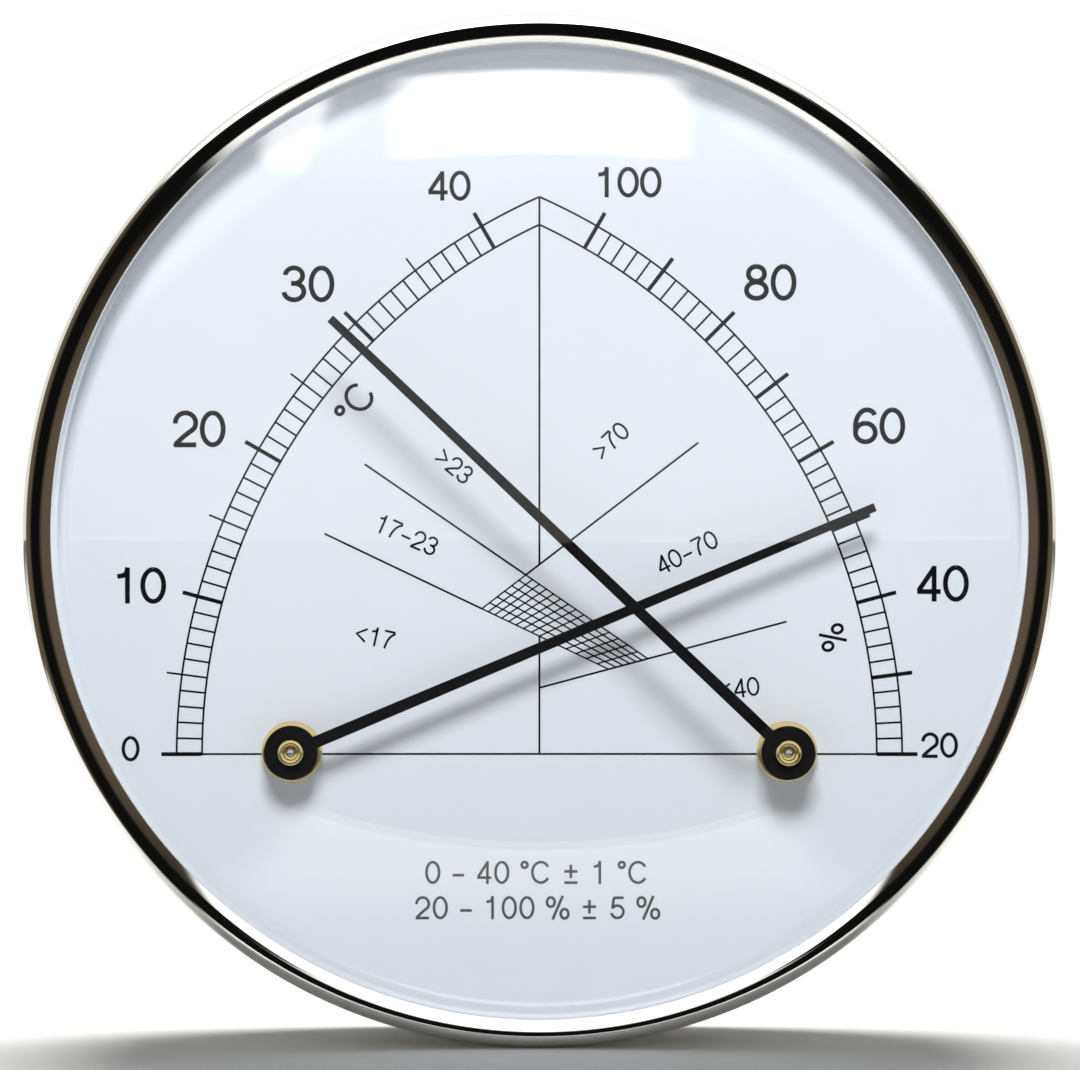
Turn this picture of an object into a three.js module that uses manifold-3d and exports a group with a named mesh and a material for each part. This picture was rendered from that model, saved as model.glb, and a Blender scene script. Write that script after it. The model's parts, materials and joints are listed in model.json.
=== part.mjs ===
// Round wall thermo-hygrometer with two crossed pointers, in millimetres.
//
// Every sub-part is modelled in the dial's frame: x to the right, y up the dial, and z out of the
// wall towards the reader, with z = 0 on the wall. The group at the end turns that frame so that
// y points up in the world and the dial faces -Y.

import * as THREE from 'three';
import * as BufferGeometryUtils from 'three/addons/utils/BufferGeometryUtils.js';
import Module from 'manifold-3d';

const wasm = await Module();
wasm.setup();

// Gaps between neighbouring pieces
const SEAT_GAP = 0.1; // clamped face to face
const SLIP_GAP = 0.2; // one pushed over or into the other
const GRIP_GAP = 0.08; // pressed on a shaft
const RUNNING_GAP = 0.1; // a shaft in its bearing
const CUT_MARGIN = 1; // how far a cutting shape runs past the faces it cuts

// Case
const CASE_RADIUS = 51.5; // outside of the bezel
const BEZEL_WIDTH = 2.85;
const BEZEL_CROWN = 1.6;
const BEZEL_BULGE = 0.3; // how far the half-round stands proud of the skirt
const BEZEL_UNDERCUT = 0.9; // height over which it runs back to the skirt
const SKIRT_LENGTH = 5;
const SKIRT_WALL = 0.6;
const DRUM_WALL = 0.8;
const DRUM_CORNER = 2;
const FLANGE_WIDTH = 4.4;

// Glass and what it is seated on
const GLASS_THICKNESS = 2;
const DOME_RISE = 8;
const GLASS_PLAY = 0.3; // between the glass and the drum
const GLASS_BRIM = 0.6; // flat border of the front, under the bezel's lip
const GLASS_SEAT = 1.3; // flat border of the back, over the gasket
const GASKET_THICKNESS = 0.3;
const SPACER_HEIGHT = 5.3;
const SPACER_WALL = 0.6;

// Dial and the ring that carries it
const DIAL_FACE = 18; // height above the wall
const DIAL_THICKNESS = 0.6;
const SUPPORT_WALL = 1.2;
const SHELF_WIDTH = 3;
const SHELF_THICKNESS = 1.5;
const SCREW_COUNT = 3;
const BOSS_TO_FLANGE = 0.7; // between the screw bosses and the drum's flange
const FIRST_SCREW_ANGLE = 30;
const SCREW_BOSS_RADIUS = 2.8;
const SCREW_RIB_WIDTH = 2;
const PILOT_RADIUS = 0.95;
const PILOT_DEPTH = 7;

// Back cover
const COVER_SHEET = 0.8;
const COVER_STANDOFF = 2; // how far the middle stands out towards the wall
const COVER_MIDDLE_RADIUS = 27;
const COVER_SLOPE_WIDTH = 2;
const KEYHOLE_INSET = 13.2; // from the cover's rim to the middle of the entry
const KEYHOLE_RADIUS = 4.5;
const KEYHOLE_SLOT_WIDTH = 4.6;
const KEYHOLE_RISE = 6;
const VENT_INSET = 9.7; // from the cover's rim to the middle of a slot
const VENT_LENGTH = 10;
const VENT_WIDTH = 2.2;
const VENT_STEP = 11; // degrees between air slots
const VENTS_PER_GROUP = 5;
const VENT_GROUP_ANGLES = [210, 330];
const ACCESS_RADIUS = 3.5;
const COVER_SCREW_HOLE = 1.2;

// Cover screws
const SCREW_HEAD_RADIUS = 2;
const SCREW_HEAD_HEIGHT = 1;
const SCREW_SHANK_RADIUS = 0.8;
const SCREW_SHANK_LENGTH = 7;
const SCREW_SLOT_WIDTH = 0.6;
const SCREW_SLOT_DEPTH = 0.5;

// Pivots and pointers
const HUB_INSET = 15.94; // from the dial's rim to a pivot
const HUB_ANGLE = 41.72; // each pivot below the horizontal, seen from the middle of the case
const HUMIDITY_ANGLE = 22.8; // above the baseline, towards the right
const TEMPERATURE_ANGLE = 43.47; // above the baseline, towards the left
const HUMIDITY_TIP_GAP = 5.42; // from the tip to the dial's rim, with the pointer on the baseline
const TEMPERATURE_TIP_GAP = 5.92;
const HUMIDITY_LIFT = 2.8; // underside of the disc above the dial's face
const TEMPERATURE_LIFT = 3.7;
const CRANK_RISE = 2.3;
const CRANK_START = 3.5;
const CRANK_END = 5.6;
const POINTER_SHEET = 0.4;
const ARM_ROOT_WIDTH = 1.2;
const ARM_TIP_WIDTH = 0.85;
const DISC_RADIUS = 2.7;
const BUSH_RADIUS = 1.3;
const BUSH_SPIGOT = 0.9;
const BUSH_HEIGHT = 0.85;
const BUSH_EDGE = 0.15;
const RECESS_RADIUS = 0.7;
const RECESS_DEPTH = 0.5;

// Arbors, posts and rear bearings
const ARBOR_RADIUS = 0.6;
const ARBOR_TIP_RADIUS = 0.35;
const POST_FOOT_RADIUS = 3.03;
const POST_FOOT_HEIGHT = 1.3;
const POST_FOOT_EDGE = 0.2;
const POST_NECK_RADIUS = 1.6;
const POST_THREAD_RADIUS = 2;
const POST_THREAD_END = 0.4; // thread that shows behind the nut
const NUT_RADIUS = 3.4;
const NUT_THICKNESS = 1.3;
const BEARING_RADIUS = 1.5;
const BEARING_FLANGE_RADIUS = 2.4;
const BEARING_FLANGE = 1.2;
const BEARING_NOSE = 0.6;
const BEARING_FLOOR = 0.9;

// Brackets
const BRACKET_SHEET = 1;
const BRACKET_HALF_WIDTH = 6.5;
const BRACKET_BACK = 5; // height of the rear leaf above the wall
const BRACKET_BELOW_HUB = 8.8;
const BRACKET_ABOVE_HUB = 8.2;
const BRACKET_TO_SHELF = 0.85; // from the long bracket's far corner to the shelf
const BRACKET_FOOT = 3;

// Strand, its drum and its return spring
const STRAND_DRUM_LIFT = 2.7; // above the rear leaf
const GROOVE_FLANGE_RADIUS = 1.9;
const GROOVE_FLANGE = 0.4;
const GROOVE_WIDTH = 0.8;
const GROOVE_RADIUS = 0.85;
const STRAND_RADIUS = 0.2;
const STRAND_PLAY = 0.05;
const SPRING_RADIUS = 1.6;
const SPRING_WIRE = 0.3;
const SPRING_TURNS = 5;

// Strand's anchor: lever, pivot pin and adjuster with an eccentric pin
const LEVER_PIVOT_X = 4.75; // to the right of the hub
const LEVER_TAIL = 9; // pivot to the adjuster's axis
const ADJUSTER_INSET = 3; // the adjuster's axis below the end of the long bracket
const LEVER_TAIL_HALF_WIDTH = 1.7;
const LEVER_ARM_HALF_WIDTH = 1.2;
const LEVER_SHEET = 1.2;
const LEVER_PIN_RADIUS = 0.85;
const LEVER_PIN_SHOULDER = 1.5;
const LEVER_PIN_STEM = 1;
const LEVER_PIN_HEAD = 0.6;
const LEVER_PIN_FOOT_RADIUS = 1.6;
const LEVER_BORE_GAP = 0.15;
const FORK_WIDTH = 1.4;
const FORK_DEPTH = 1.8;
const ADJUSTER_HEAD_RADIUS = 2.6;
const ADJUSTER_HEAD = 1.5;
const ADJUSTER_HEAD_GAP = 0.3; // to the rear leaf
const ADJUSTER_SHANK = 1.5;
const ADJUSTER_SLOT_WIDTH = 0.9;
const ADJUSTER_SLOT_DEPTH = 0.8;
const ECCENTRIC_OFFSET = 0.7;
const ECCENTRIC_RADIUS = 0.6;
const ECCENTRIC_END = 0.2; // past the lever

// Bimetal coil, collet and stud
const COIL_RADIUS = 5;
const COIL_TURNS = 4;
const COIL_STRIP_WIDTH = 0.9;
const COIL_STRIP_THICKNESS = 0.35;
const STUD_RADIUS = 1;
const STUD_HEIGHT = 1.3;
const COLLET_RADIUS = 1.7;
const COLLET_HEIGHT = 1;
const COLLET_ARM_WIDTH = 1.6;
const COLLET_ARM_REACH = 5.6;

// Smoothness
const RING_STEPS = 64;
const HUB_STEPS = 16;
const HOLE_STEPS = 16;
const CORNER_STEPS = 3;
const CROWN_STEPS = 6;
const DOME_STEPS = 6;
const COIL_STEPS = 16;
const SPRING_STEPS = 10;
const STRAND_SIDES = 6;
const WRAP_STEPS = 8;

// Radii of the case, from the outside in
const skirtOuter = CASE_RADIUS - BEZEL_BULGE;
const skirtInner = skirtOuter - SKIRT_WALL;
const drumOuter = skirtInner - SLIP_GAP;
const drumInner = drumOuter - DRUM_WALL;
const glassRadius = drumInner - GLASS_PLAY;
const flangeInner = drumOuter - FLANGE_WIDTH;
const screwCircle = flangeInner - BOSS_TO_FLANGE - SCREW_BOSS_RADIUS;
const supportOuter = drumInner - SLIP_GAP;
const shelfInner = supportOuter - SHELF_WIDTH;
const coverRadius = drumOuter - DRUM_CORNER - SLIP_GAP;

// Levels of the case, from the wall out
const coverFront = COVER_STANDOFF + COVER_SHEET;
const flangeBack = coverFront + SLIP_GAP;
const flangeFront = flangeBack + DRUM_WALL;
const dialBack = DIAL_FACE - DIAL_THICKNESS;
const supportTop = dialBack - SEAT_GAP;
const spacerFoot = DIAL_FACE + SEAT_GAP;
const spacerTop = spacerFoot + SPACER_HEIGHT;
const gasketBack = spacerTop + SEAT_GAP;
const glassRim = gasketBack + GASKET_THICKNESS + SEAT_GAP;
const glassFront = glassRim + GLASS_THICKNESS;
const bezelSeat = glassFront + SLIP_GAP;
const drumTop = bezelSeat - SLIP_GAP;

// Places of the two pivots, and the reach from each along the baseline to the dial's far rim
const hubX = (glassRadius - HUB_INSET) * Math.cos(radians(HUB_ANGLE));
const hubDrop = (glassRadius - HUB_INSET) * Math.sin(radians(HUB_ANGLE));
const baseline = hubX + Math.sqrt(glassRadius ** 2 - hubDrop ** 2);
const humidityReach = baseline - HUMIDITY_TIP_GAP;
const temperatureReach = baseline - TEMPERATURE_TIP_GAP;

// Where the long bracket ends and what it carries sits, from the humidity pivot
const bracketCorner = Math.sqrt((shelfInner - BRACKET_TO_SHELF) ** 2 - (hubX + BRACKET_HALF_WIDTH) ** 2);
const longBracketTop = hubDrop + bracketCorner;
const adjusterX = LEVER_PIVOT_X;
const adjusterY = longBracketTop - ADJUSTER_INSET;
const leverPivotY = adjusterY - LEVER_TAIL;

// Levels of the two movements
const leafFront = dialBack - SEAT_GAP;
const leafBack = leafFront - BRACKET_SHEET;
const nutFront = leafBack - SEAT_GAP;
const postBack = nutFront - NUT_THICKNESS - POST_THREAD_END;
const rearLeafFront = BRACKET_BACK + BRACKET_SHEET;
const boreRadius = ARBOR_RADIUS + RUNNING_GAP;
const bearingBack = BRACKET_BACK - SEAT_GAP - BEARING_FLANGE;
const strandDrumBack = rearLeafFront + STRAND_DRUM_LIFT;
const strandDrumFront = strandDrumBack + 2 * GROOVE_FLANGE + GROOVE_WIDTH;
const strandLevel = (strandDrumBack + strandDrumFront) / 2;
const strandOffset = GROOVE_RADIUS + STRAND_PLAY + STRAND_RADIUS;
const leverBack = strandLevel - LEVER_SHEET / 2;
const leverFront = strandLevel + LEVER_SHEET / 2;
const coilBack = rearLeafFront + SEAT_GAP + STUD_HEIGHT + SEAT_GAP;
const colletBack = postBack - SLIP_GAP - COLLET_HEIGHT;
const coilFront = colletBack - SEAT_GAP;
const coilPitch = (coilFront - coilBack - COIL_STRIP_WIDTH) / COIL_TURNS;

// Points of a spherical dome from its apex down to its base circle, as [radius, height] pairs.
function dome(base, level) {
  const sphere = (base ** 2 + DOME_RISE ** 2) / (2 * DOME_RISE);
  const points = [];
  for (let i = 0; i <= DOME_STEPS; i += 1) {
    const radius = (base * i) / DOME_STEPS;
    points.push([radius, level + DOME_RISE - sphere + Math.sqrt(sphere ** 2 - radius ** 2)]);
  }
  return points;
}

function radians(degrees) {
  return THREE.MathUtils.degToRad(degrees);
}

// Points of an elliptic arc as [radius, height] pairs, both ends included.
function arc(centre, radii, fromDegrees, toDegrees, steps) {
  const points = [];
  for (let i = 0; i <= steps; i += 1) {
    const angle = radians(fromDegrees + ((toDegrees - fromDegrees) * i) / steps);
    points.push([centre[0] + radii[0] * Math.cos(angle), centre[1] + radii[1] * Math.sin(angle)]);
  }
  return points;
}

// Keeps only the positions and merges the vertices that coincide.
function weld(geometry) {
  const bare = geometry.clone();
  bare.deleteAttribute('normal');
  bare.deleteAttribute('uv');
  return BufferGeometryUtils.mergeVertices(bare, 1e-5);
}

// Solid of revolution round z. The profile holds [radius, height] pairs and either starts and ends
// on the axis or runs round a closed section.
function turned(profile, steps = HUB_STEPS) {
  const points = profile.map(([radius, height]) => new THREE.Vector2(radius, height));
  if (THREE.ShapeUtils.area(points) < 0) points.reverse();
  const onAxis = points[0].x === 0 && points[points.length - 1].x === 0;
  if (!onAxis) points.push(points[0].clone());
  const geometry = new THREE.LatheGeometry(points, steps);
  geometry.rotateX(Math.PI / 2);
  return weld(geometry);
}

function rod(radius, from, to, steps = HOLE_STEPS) {
  return turned([[0, from], [radius, from], [radius, to], [0, to]], steps);
}

function plate(outline, from, thickness, curveSegments = HOLE_STEPS / 2) {
  const options = { depth: thickness, bevelEnabled: false, curveSegments };
  const geometry = new THREE.ExtrudeGeometry(outline, options);
  geometry.translate(0, 0, from);
  return weld(geometry);
}

function block(size, centre) {
  const geometry = new THREE.BoxGeometry(...size);
  geometry.translate(...centre);
  return weld(geometry);
}

function moved(geometry, x, y, z = 0) {
  return geometry.clone().translate(x, y, z);
}

function turnedBy(geometry, degrees) {
  return geometry.clone().rotateZ(radians(degrees));
}

// Closed skin over a row of rings that all have as many points, with a flat cap at each end.
function skinned(rings) {
  const sides = rings[0].length;
  const positions = rings.flat().flatMap((point) => [point.x, point.y, point.z]);
  const index = [];
  for (let ring = 0; ring < rings.length - 1; ring += 1) {
    for (let side = 0; side < sides; side += 1) {
      const a = ring * sides + side;
      const b = ring * sides + ((side + 1) % sides);
      index.push(a, b, b + sides, a, b + sides, a + sides);
    }
  }
  const last = (rings.length - 1) * sides;
  for (let side = 1; side < sides - 1; side += 1) {
    index.push(0, side + 1, side);
    index.push(last, last + side, last + side + 1);
  }
  const geometry = new THREE.BufferGeometry();
  geometry.setAttribute('position', new THREE.Float32BufferAttribute(positions, 3));
  geometry.setIndex(index);
  return geometry;
}

function toSolid(geometry) {
  const mesh = new wasm.Mesh({
    numProp: 3,
    vertProperties: new Float32Array(geometry.attributes.position.array),
    triVerts: new Uint32Array(geometry.index.array),
  });
  return new wasm.Manifold(mesh);
}

function fromSolid(solid) {
  const mesh = solid.getMesh();
  const geometry = new THREE.BufferGeometry();
  geometry.setAttribute('position', new THREE.Float32BufferAttribute(mesh.vertProperties, 3));
  geometry.setIndex(Array.from(mesh.triVerts));
  return geometry;
}

// The first shape joined with those of adds, less those of cuts.
function carved(base, adds, cuts) {
  let solid = toSolid(base);
  for (const shape of adds) solid = solid.add(toSolid(shape));
  for (const shape of cuts) solid = solid.subtract(toSolid(shape));
  return fromSolid(solid);
}

function finish(color, roughness, metalness, extra = {}) {
  return new THREE.MeshStandardMaterial({ color, roughness, metalness, ...extra });
}

const materials = {
  polishedSteel: finish(0xd4d2cc, 0.08, 1),
  brushedSteel: finish(0xbdbcb8, 0.35, 1),
  glass: finish(0xf2f7fa, 0.03, 0, { transparent: true, opacity: 0.25 }),
  whitePlastic: finish(0xeef1f3, 0.45, 0),
  rubber: finish(0xd9dcde, 0.7, 0),
  dialWhite: finish(0xe3e8ee, 0.4, 0),
  blackPlastic: finish(0x1c1d1f, 0.6, 0),
  blackLacquer: finish(0x0d0e10, 0.45, 0.2),
  brass: finish(0xc9a24a, 0.25, 1),
  zincSteel: finish(0xa9adb0, 0.4, 1),
  springSteel: finish(0x8f9296, 0.3, 1),
  bimetal: finish(0xa58a63, 0.35, 1),
  fibre: finish(0xe9e4d4, 0.8, 0),
};

function piece(name, geometry, material) {
  const mesh = new THREE.Mesh(geometry, material);
  mesh.name = name;
  return mesh;
}

function group(x, y, ...children) {
  const made = new THREE.Group();
  made.position.set(x, y, 0);
  made.add(...children);
  return made;
}

// Case

function bezelRing() {
  const crownCentre = [CASE_RADIUS - BEZEL_WIDTH / 2, bezelSeat];
  const skirtEnd = bezelSeat - SKIRT_LENGTH;
  const profile = [
    ...arc(crownCentre, [BEZEL_WIDTH / 2, BEZEL_CROWN], 0, 180, CROWN_STEPS),
    [skirtInner, bezelSeat],
    [skirtInner, skirtEnd],
    [skirtOuter, skirtEnd],
    [skirtOuter, bezelSeat - BEZEL_UNDERCUT],
  ];
  return turned(profile, RING_STEPS);
}

// Domed glass with a flat border all round.
function crystal() {
  const profile = [
    ...dome(glassRadius - GLASS_SEAT, glassRim),
    [glassRadius, glassRim],
    [glassRadius, glassFront],
    ...dome(glassRadius - GLASS_BRIM, glassFront).reverse(),
  ];
  return turned(profile, RING_STEPS);
}

function crystalGasket() {
  const inner = glassRadius - SPACER_WALL;
  const front = gasketBack + GASKET_THICKNESS;
  const section = [[inner, gasketBack], [glassRadius, gasketBack], [glassRadius, front], [inner, front]];
  return turned(section, RING_STEPS);
}

function spacerRing() {
  const inner = glassRadius - SPACER_WALL;
  const section = [[inner, spacerFoot], [glassRadius, spacerFoot], [glassRadius, spacerTop], [inner, spacerTop]];
  return turned(section, RING_STEPS);
}

function dialPlate() {
  const hole = rod(POST_THREAD_RADIUS + SEAT_GAP, dialBack - CUT_MARGIN, DIAL_FACE + CUT_MARGIN);
  const holes = [-1, 1].map((side) => moved(hole, side * hubX, -hubDrop));
  return carved(rod(glassRadius, dialBack, DIAL_FACE, RING_STEPS), [], holes);
}

function screwAngles() {
  return Array.from({ length: SCREW_COUNT }, (_, i) => FIRST_SCREW_ANGLE + (i * 360) / SCREW_COUNT);
}

function onCircle(geometry, radius, degrees) {
  return turnedBy(moved(geometry, radius, 0), degrees);
}

function supportRing() {
  const foot = flangeFront + SEAT_GAP;
  const inner = supportOuter - SUPPORT_WALL;
  const ring = turned([
    [inner, foot],
    [inner + SEAT_GAP, foot],
    [supportOuter, foot + SUPPORT_WALL],
    [supportOuter, supportTop],
    [shelfInner, supportTop],
    [shelfInner, supportTop - SHELF_THICKNESS],
    [inner, supportTop - SHELF_THICKNESS],
  ], RING_STEPS);
  const bossFoot = coverFront + SLIP_GAP;
  const boss = rod(SCREW_BOSS_RADIUS, bossFoot, supportTop);
  const ribLength = inner + SUPPORT_WALL / 2 - screwCircle;
  const ribHeight = supportTop - foot;
  const rib = block([ribLength, SCREW_RIB_WIDTH, ribHeight], [ribLength / 2, 0, foot + ribHeight / 2]);
  const pilot = rod(PILOT_RADIUS, bossFoot - CUT_MARGIN, bossFoot + PILOT_DEPTH);
  const bosses = screwAngles().flatMap((angle) => [
    onCircle(boss, screwCircle, angle),
    onCircle(rib, screwCircle, angle),
  ]);
  return carved(ring, bosses, screwAngles().map((angle) => onCircle(pilot, screwCircle, angle)));
}

function caseDrum() {
  const corner = [drumOuter - DRUM_CORNER, flangeBack + DRUM_CORNER];
  const innerCorner = DRUM_CORNER - DRUM_WALL;
  const profile = [
    [flangeInner, flangeBack],
    ...arc(corner, [DRUM_CORNER, DRUM_CORNER], -90, 0, CORNER_STEPS),
    [drumOuter, drumTop],
    [drumInner, drumTop],
    ...arc(corner, [innerCorner, innerCorner], 0, -90, CORNER_STEPS),
    [flangeInner, flangeFront],
  ];
  return turned(profile, RING_STEPS);
}

// Slot with round ends along x, centred on the axis.
function roundSlot(length, width, from, to) {
  const straight = length - width;
  const end = rod(width / 2, from, to, HOLE_STEPS);
  const middle = block([straight, width, to - from], [0, 0, (from + to) / 2]);
  return carved(middle, [moved(end, -straight / 2, 0), moved(end, straight / 2, 0)], []);
}

function ventSlots(from, to) {
  const slot = roundSlot(VENT_LENGTH, VENT_WIDTH, from, to);
  const slots = [];
  for (const middle of VENT_GROUP_ANGLES) {
    for (let i = 0; i < VENTS_PER_GROUP; i += 1) {
      const angle = middle + (i - (VENTS_PER_GROUP - 1) / 2) * VENT_STEP;
      slots.push(onCircle(slot, coverRadius - VENT_INSET, angle));
    }
  }
  return slots;
}

function keyhole(from, to) {
  const slot = block([KEYHOLE_SLOT_WIDTH, KEYHOLE_RISE, to - from], [0, KEYHOLE_RISE / 2, (from + to) / 2]);
  const end = moved(rod(KEYHOLE_SLOT_WIDTH / 2, from, to), 0, KEYHOLE_RISE);
  return moved(carved(rod(KEYHOLE_RADIUS, from, to), [slot, end], []), 0, coverRadius - KEYHOLE_INSET);
}

function backCover() {
  const slopeEnd = COVER_MIDDLE_RADIUS + COVER_SLOPE_WIDTH;
  const sheet = turned([
    [0, 0],
    [COVER_MIDDLE_RADIUS, 0],
    [slopeEnd, COVER_STANDOFF],
    [coverRadius, COVER_STANDOFF],
    [coverRadius, coverFront],
    [slopeEnd - SLIP_GAP, coverFront],
    [COVER_MIDDLE_RADIUS - SLIP_GAP, COVER_SHEET],
    [0, COVER_SHEET],
  ], RING_STEPS);
  const from = -CUT_MARGIN;
  const to = coverFront + CUT_MARGIN;
  const screwHole = rod(COVER_SCREW_HOLE, from, to);
  const cuts = [
    keyhole(from, to),
    ...ventSlots(from, to),
    moved(rod(ACCESS_RADIUS, from, to), adjusterX - hubX, adjusterY - hubDrop),
    ...screwAngles().map((angle) => onCircle(screwHole, screwCircle, angle)),
  ];
  return carved(sheet, [], cuts);
}

function coverScrew() {
  const headFront = COVER_STANDOFF - SEAT_GAP;
  const headBack = headFront - SCREW_HEAD_HEIGHT;
  const body = turned([
    [0, headBack],
    [SCREW_HEAD_RADIUS, headBack],
    [SCREW_HEAD_RADIUS, headFront],
    [SCREW_SHANK_RADIUS, headFront],
    [SCREW_SHANK_RADIUS, headFront + SCREW_SHANK_LENGTH],
    [0, headFront + SCREW_SHANK_LENGTH],
  ], HOLE_STEPS);
  const slot = block(
    [3 * SCREW_HEAD_RADIUS, SCREW_SLOT_WIDTH, 2 * SCREW_SLOT_DEPTH],
    [0, 0, headBack],
  );
  return carved(body, [], [slot]);
}

// Parts that both movements have, each on its own pivot's axis

function post(lift) {
  const footBack = DIAL_FACE + SEAT_GAP;
  const footFront = footBack + POST_FOOT_HEIGHT;
  const neckFront = DIAL_FACE + lift - SLIP_GAP;
  return turned([
    [boreRadius, postBack],
    [POST_THREAD_RADIUS, postBack],
    [POST_THREAD_RADIUS, footBack],
    [POST_FOOT_RADIUS, footBack],
    [POST_FOOT_RADIUS, footFront - POST_FOOT_EDGE],
    [POST_FOOT_RADIUS - POST_FOOT_EDGE, footFront],
    [POST_NECK_RADIUS, footFront],
    [POST_NECK_RADIUS, neckFront],
    [boreRadius, neckFront],
  ]);
}

function nut() {
  const corners = arc([0, 0], [NUT_RADIUS, NUT_RADIUS], 0, 300, 5);
  const outline = new THREE.Shape(corners.map(([x, y]) => new THREE.Vector2(x, y)));
  const hole = new THREE.Path();
  hole.absarc(0, 0, POST_THREAD_RADIUS + SEAT_GAP, 0, 2 * Math.PI);
  outline.holes.push(hole);
  return plate(outline, nutFront - NUT_THICKNESS, NUT_THICKNESS);
}

function rearBearing() {
  const flangeFace = BRACKET_BACK - SEAT_GAP;
  const nose = rearLeafFront + BEARING_NOSE;
  return turned([
    [0, bearingBack],
    [BEARING_FLANGE_RADIUS, bearingBack],
    [BEARING_FLANGE_RADIUS, flangeFace],
    [BEARING_RADIUS, flangeFace],
    [BEARING_RADIUS, nose],
    [boreRadius, nose],
    [boreRadius, bearingBack + BEARING_FLOOR],
    [0, bearingBack + BEARING_FLOOR],
  ]);
}

function arbor(lift) {
  const back = bearingBack + BEARING_FLOOR + SEAT_GAP;
  const shoulder = DIAL_FACE + lift - SEAT_GAP;
  const tip = DIAL_FACE + lift + POINTER_SHEET + BUSH_HEIGHT;
  return turned([
    [0, back],
    [ARBOR_RADIUS, back],
    [ARBOR_RADIUS, shoulder],
    [ARBOR_TIP_RADIUS, shoulder],
    [ARBOR_TIP_RADIUS, tip],
    [0, tip],
  ]);
}

function pointerBush(lift) {
  const back = DIAL_FACE + lift;
  const flange = back + POINTER_SHEET + SEAT_GAP / 2;
  const front = flange + BUSH_HEIGHT;
  const bore = ARBOR_TIP_RADIUS + GRIP_GAP;
  return turned([
    [bore, back],
    [BUSH_SPIGOT, back],
    [BUSH_SPIGOT, flange],
    [BUSH_RADIUS, flange],
    [BUSH_RADIUS, front - BUSH_EDGE],
    [BUSH_RADIUS - BUSH_EDGE, front],
    [RECESS_RADIUS, front],
    [RECESS_RADIUS, front - RECESS_DEPTH],
    [bore, front - RECESS_DEPTH],
  ]);
}

// Pointer along +x: a disc with an arm whose stations hold [distance, underside, width].
function pointer(lift, stations) {
  const rings = stations.map(([distance, underside, width]) => [
    new THREE.Vector3(distance, -width / 2, underside),
    new THREE.Vector3(distance, width / 2, underside),
    new THREE.Vector3(distance, width / 2, underside + POINTER_SHEET),
    new THREE.Vector3(distance, -width / 2, underside + POINTER_SHEET),
  ]);
  const back = DIAL_FACE + lift;
  const disc = rod(DISC_RADIUS, back, back + POINTER_SHEET, 2 * HUB_STEPS);
  const hole = rod(BUSH_SPIGOT + GRIP_GAP, back - CUT_MARGIN, back + POINTER_SHEET + CUT_MARGIN);
  return carved(disc, [skinned(rings)], [hole]);
}

function humidityPointer() {
  const level = DIAL_FACE + HUMIDITY_LIFT;
  return pointer(HUMIDITY_LIFT, [
    [DISC_RADIUS / 2, level, ARM_ROOT_WIDTH],
    [CRANK_END, level, ARM_ROOT_WIDTH],
    [humidityReach, level, ARM_TIP_WIDTH],
  ]);
}

function temperaturePointer() {
  const level = DIAL_FACE + TEMPERATURE_LIFT;
  return pointer(TEMPERATURE_LIFT, [
    [DISC_RADIUS / 2, level, ARM_ROOT_WIDTH],
    [CRANK_START, level, ARM_ROOT_WIDTH],
    [CRANK_END, level + CRANK_RISE, ARM_ROOT_WIDTH],
    [temperatureReach, level + CRANK_RISE, ARM_TIP_WIDTH],
  ]);
}

function rearLeafHole(radius) {
  return rod(radius, BRACKET_BACK - CUT_MARGIN, rearLeafFront + CUT_MARGIN);
}

// Bracket bent from one strip. Its section runs in the y and z directions and is extruded along x.
function bracket(section, cuts) {
  const outline = new THREE.Shape(section.map(([y, z]) => new THREE.Vector2(y, z)));
  const strip = plate(outline, -BRACKET_HALF_WIDTH, 2 * BRACKET_HALF_WIDTH);
  const turn = new THREE.Matrix4().makeBasis(
    new THREE.Vector3(0, 1, 0),
    new THREE.Vector3(0, 0, 1),
    new THREE.Vector3(1, 0, 0),
  );
  strip.applyMatrix4(turn);
  const postHole = rod(POST_THREAD_RADIUS + SEAT_GAP, leafBack - CUT_MARGIN, leafFront + CUT_MARGIN);
  const bearingHole = rearLeafHole(BEARING_RADIUS + GRIP_GAP);
  return carved(strip, [], [postHole, bearingHole, ...cuts]);
}

// The lower web and front leaf, which both brackets have, from the rear leaf to the leaf's end.
function bracketHead() {
  return [
    [-BRACKET_BELOW_HUB + BRACKET_SHEET, rearLeafFront],
    [-BRACKET_BELOW_HUB + BRACKET_SHEET, leafBack],
    [BRACKET_ABOVE_HUB, leafBack],
    [BRACKET_ABOVE_HUB, leafFront],
    [-BRACKET_BELOW_HUB, leafFront],
    [-BRACKET_BELOW_HUB, BRACKET_BACK],
  ];
}

function temperatureBracket() {
  return bracket([
    ...bracketHead(),
    [BRACKET_ABOVE_HUB, BRACKET_BACK],
    [BRACKET_ABOVE_HUB, rearLeafFront],
  ], []);
}

function humidityBracket() {
  const inside = longBracketTop - BRACKET_SHEET;
  const pinHole = rearLeafHole(LEVER_PIN_STEM + GRIP_GAP);
  const adjusterHole = rearLeafHole(ADJUSTER_SHANK + RUNNING_GAP);
  return bracket([
    ...bracketHead(),
    [longBracketTop, BRACKET_BACK],
    [longBracketTop, leafFront],
    [longBracketTop - BRACKET_FOOT, leafFront],
    [longBracketTop - BRACKET_FOOT, leafBack],
    [inside, leafBack],
    [inside, rearLeafFront],
  ], [
    moved(pinHole, LEVER_PIVOT_X, leverPivotY),
    moved(adjusterHole, adjusterX, adjusterY),
  ]);
}

// Humidity movement

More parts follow.
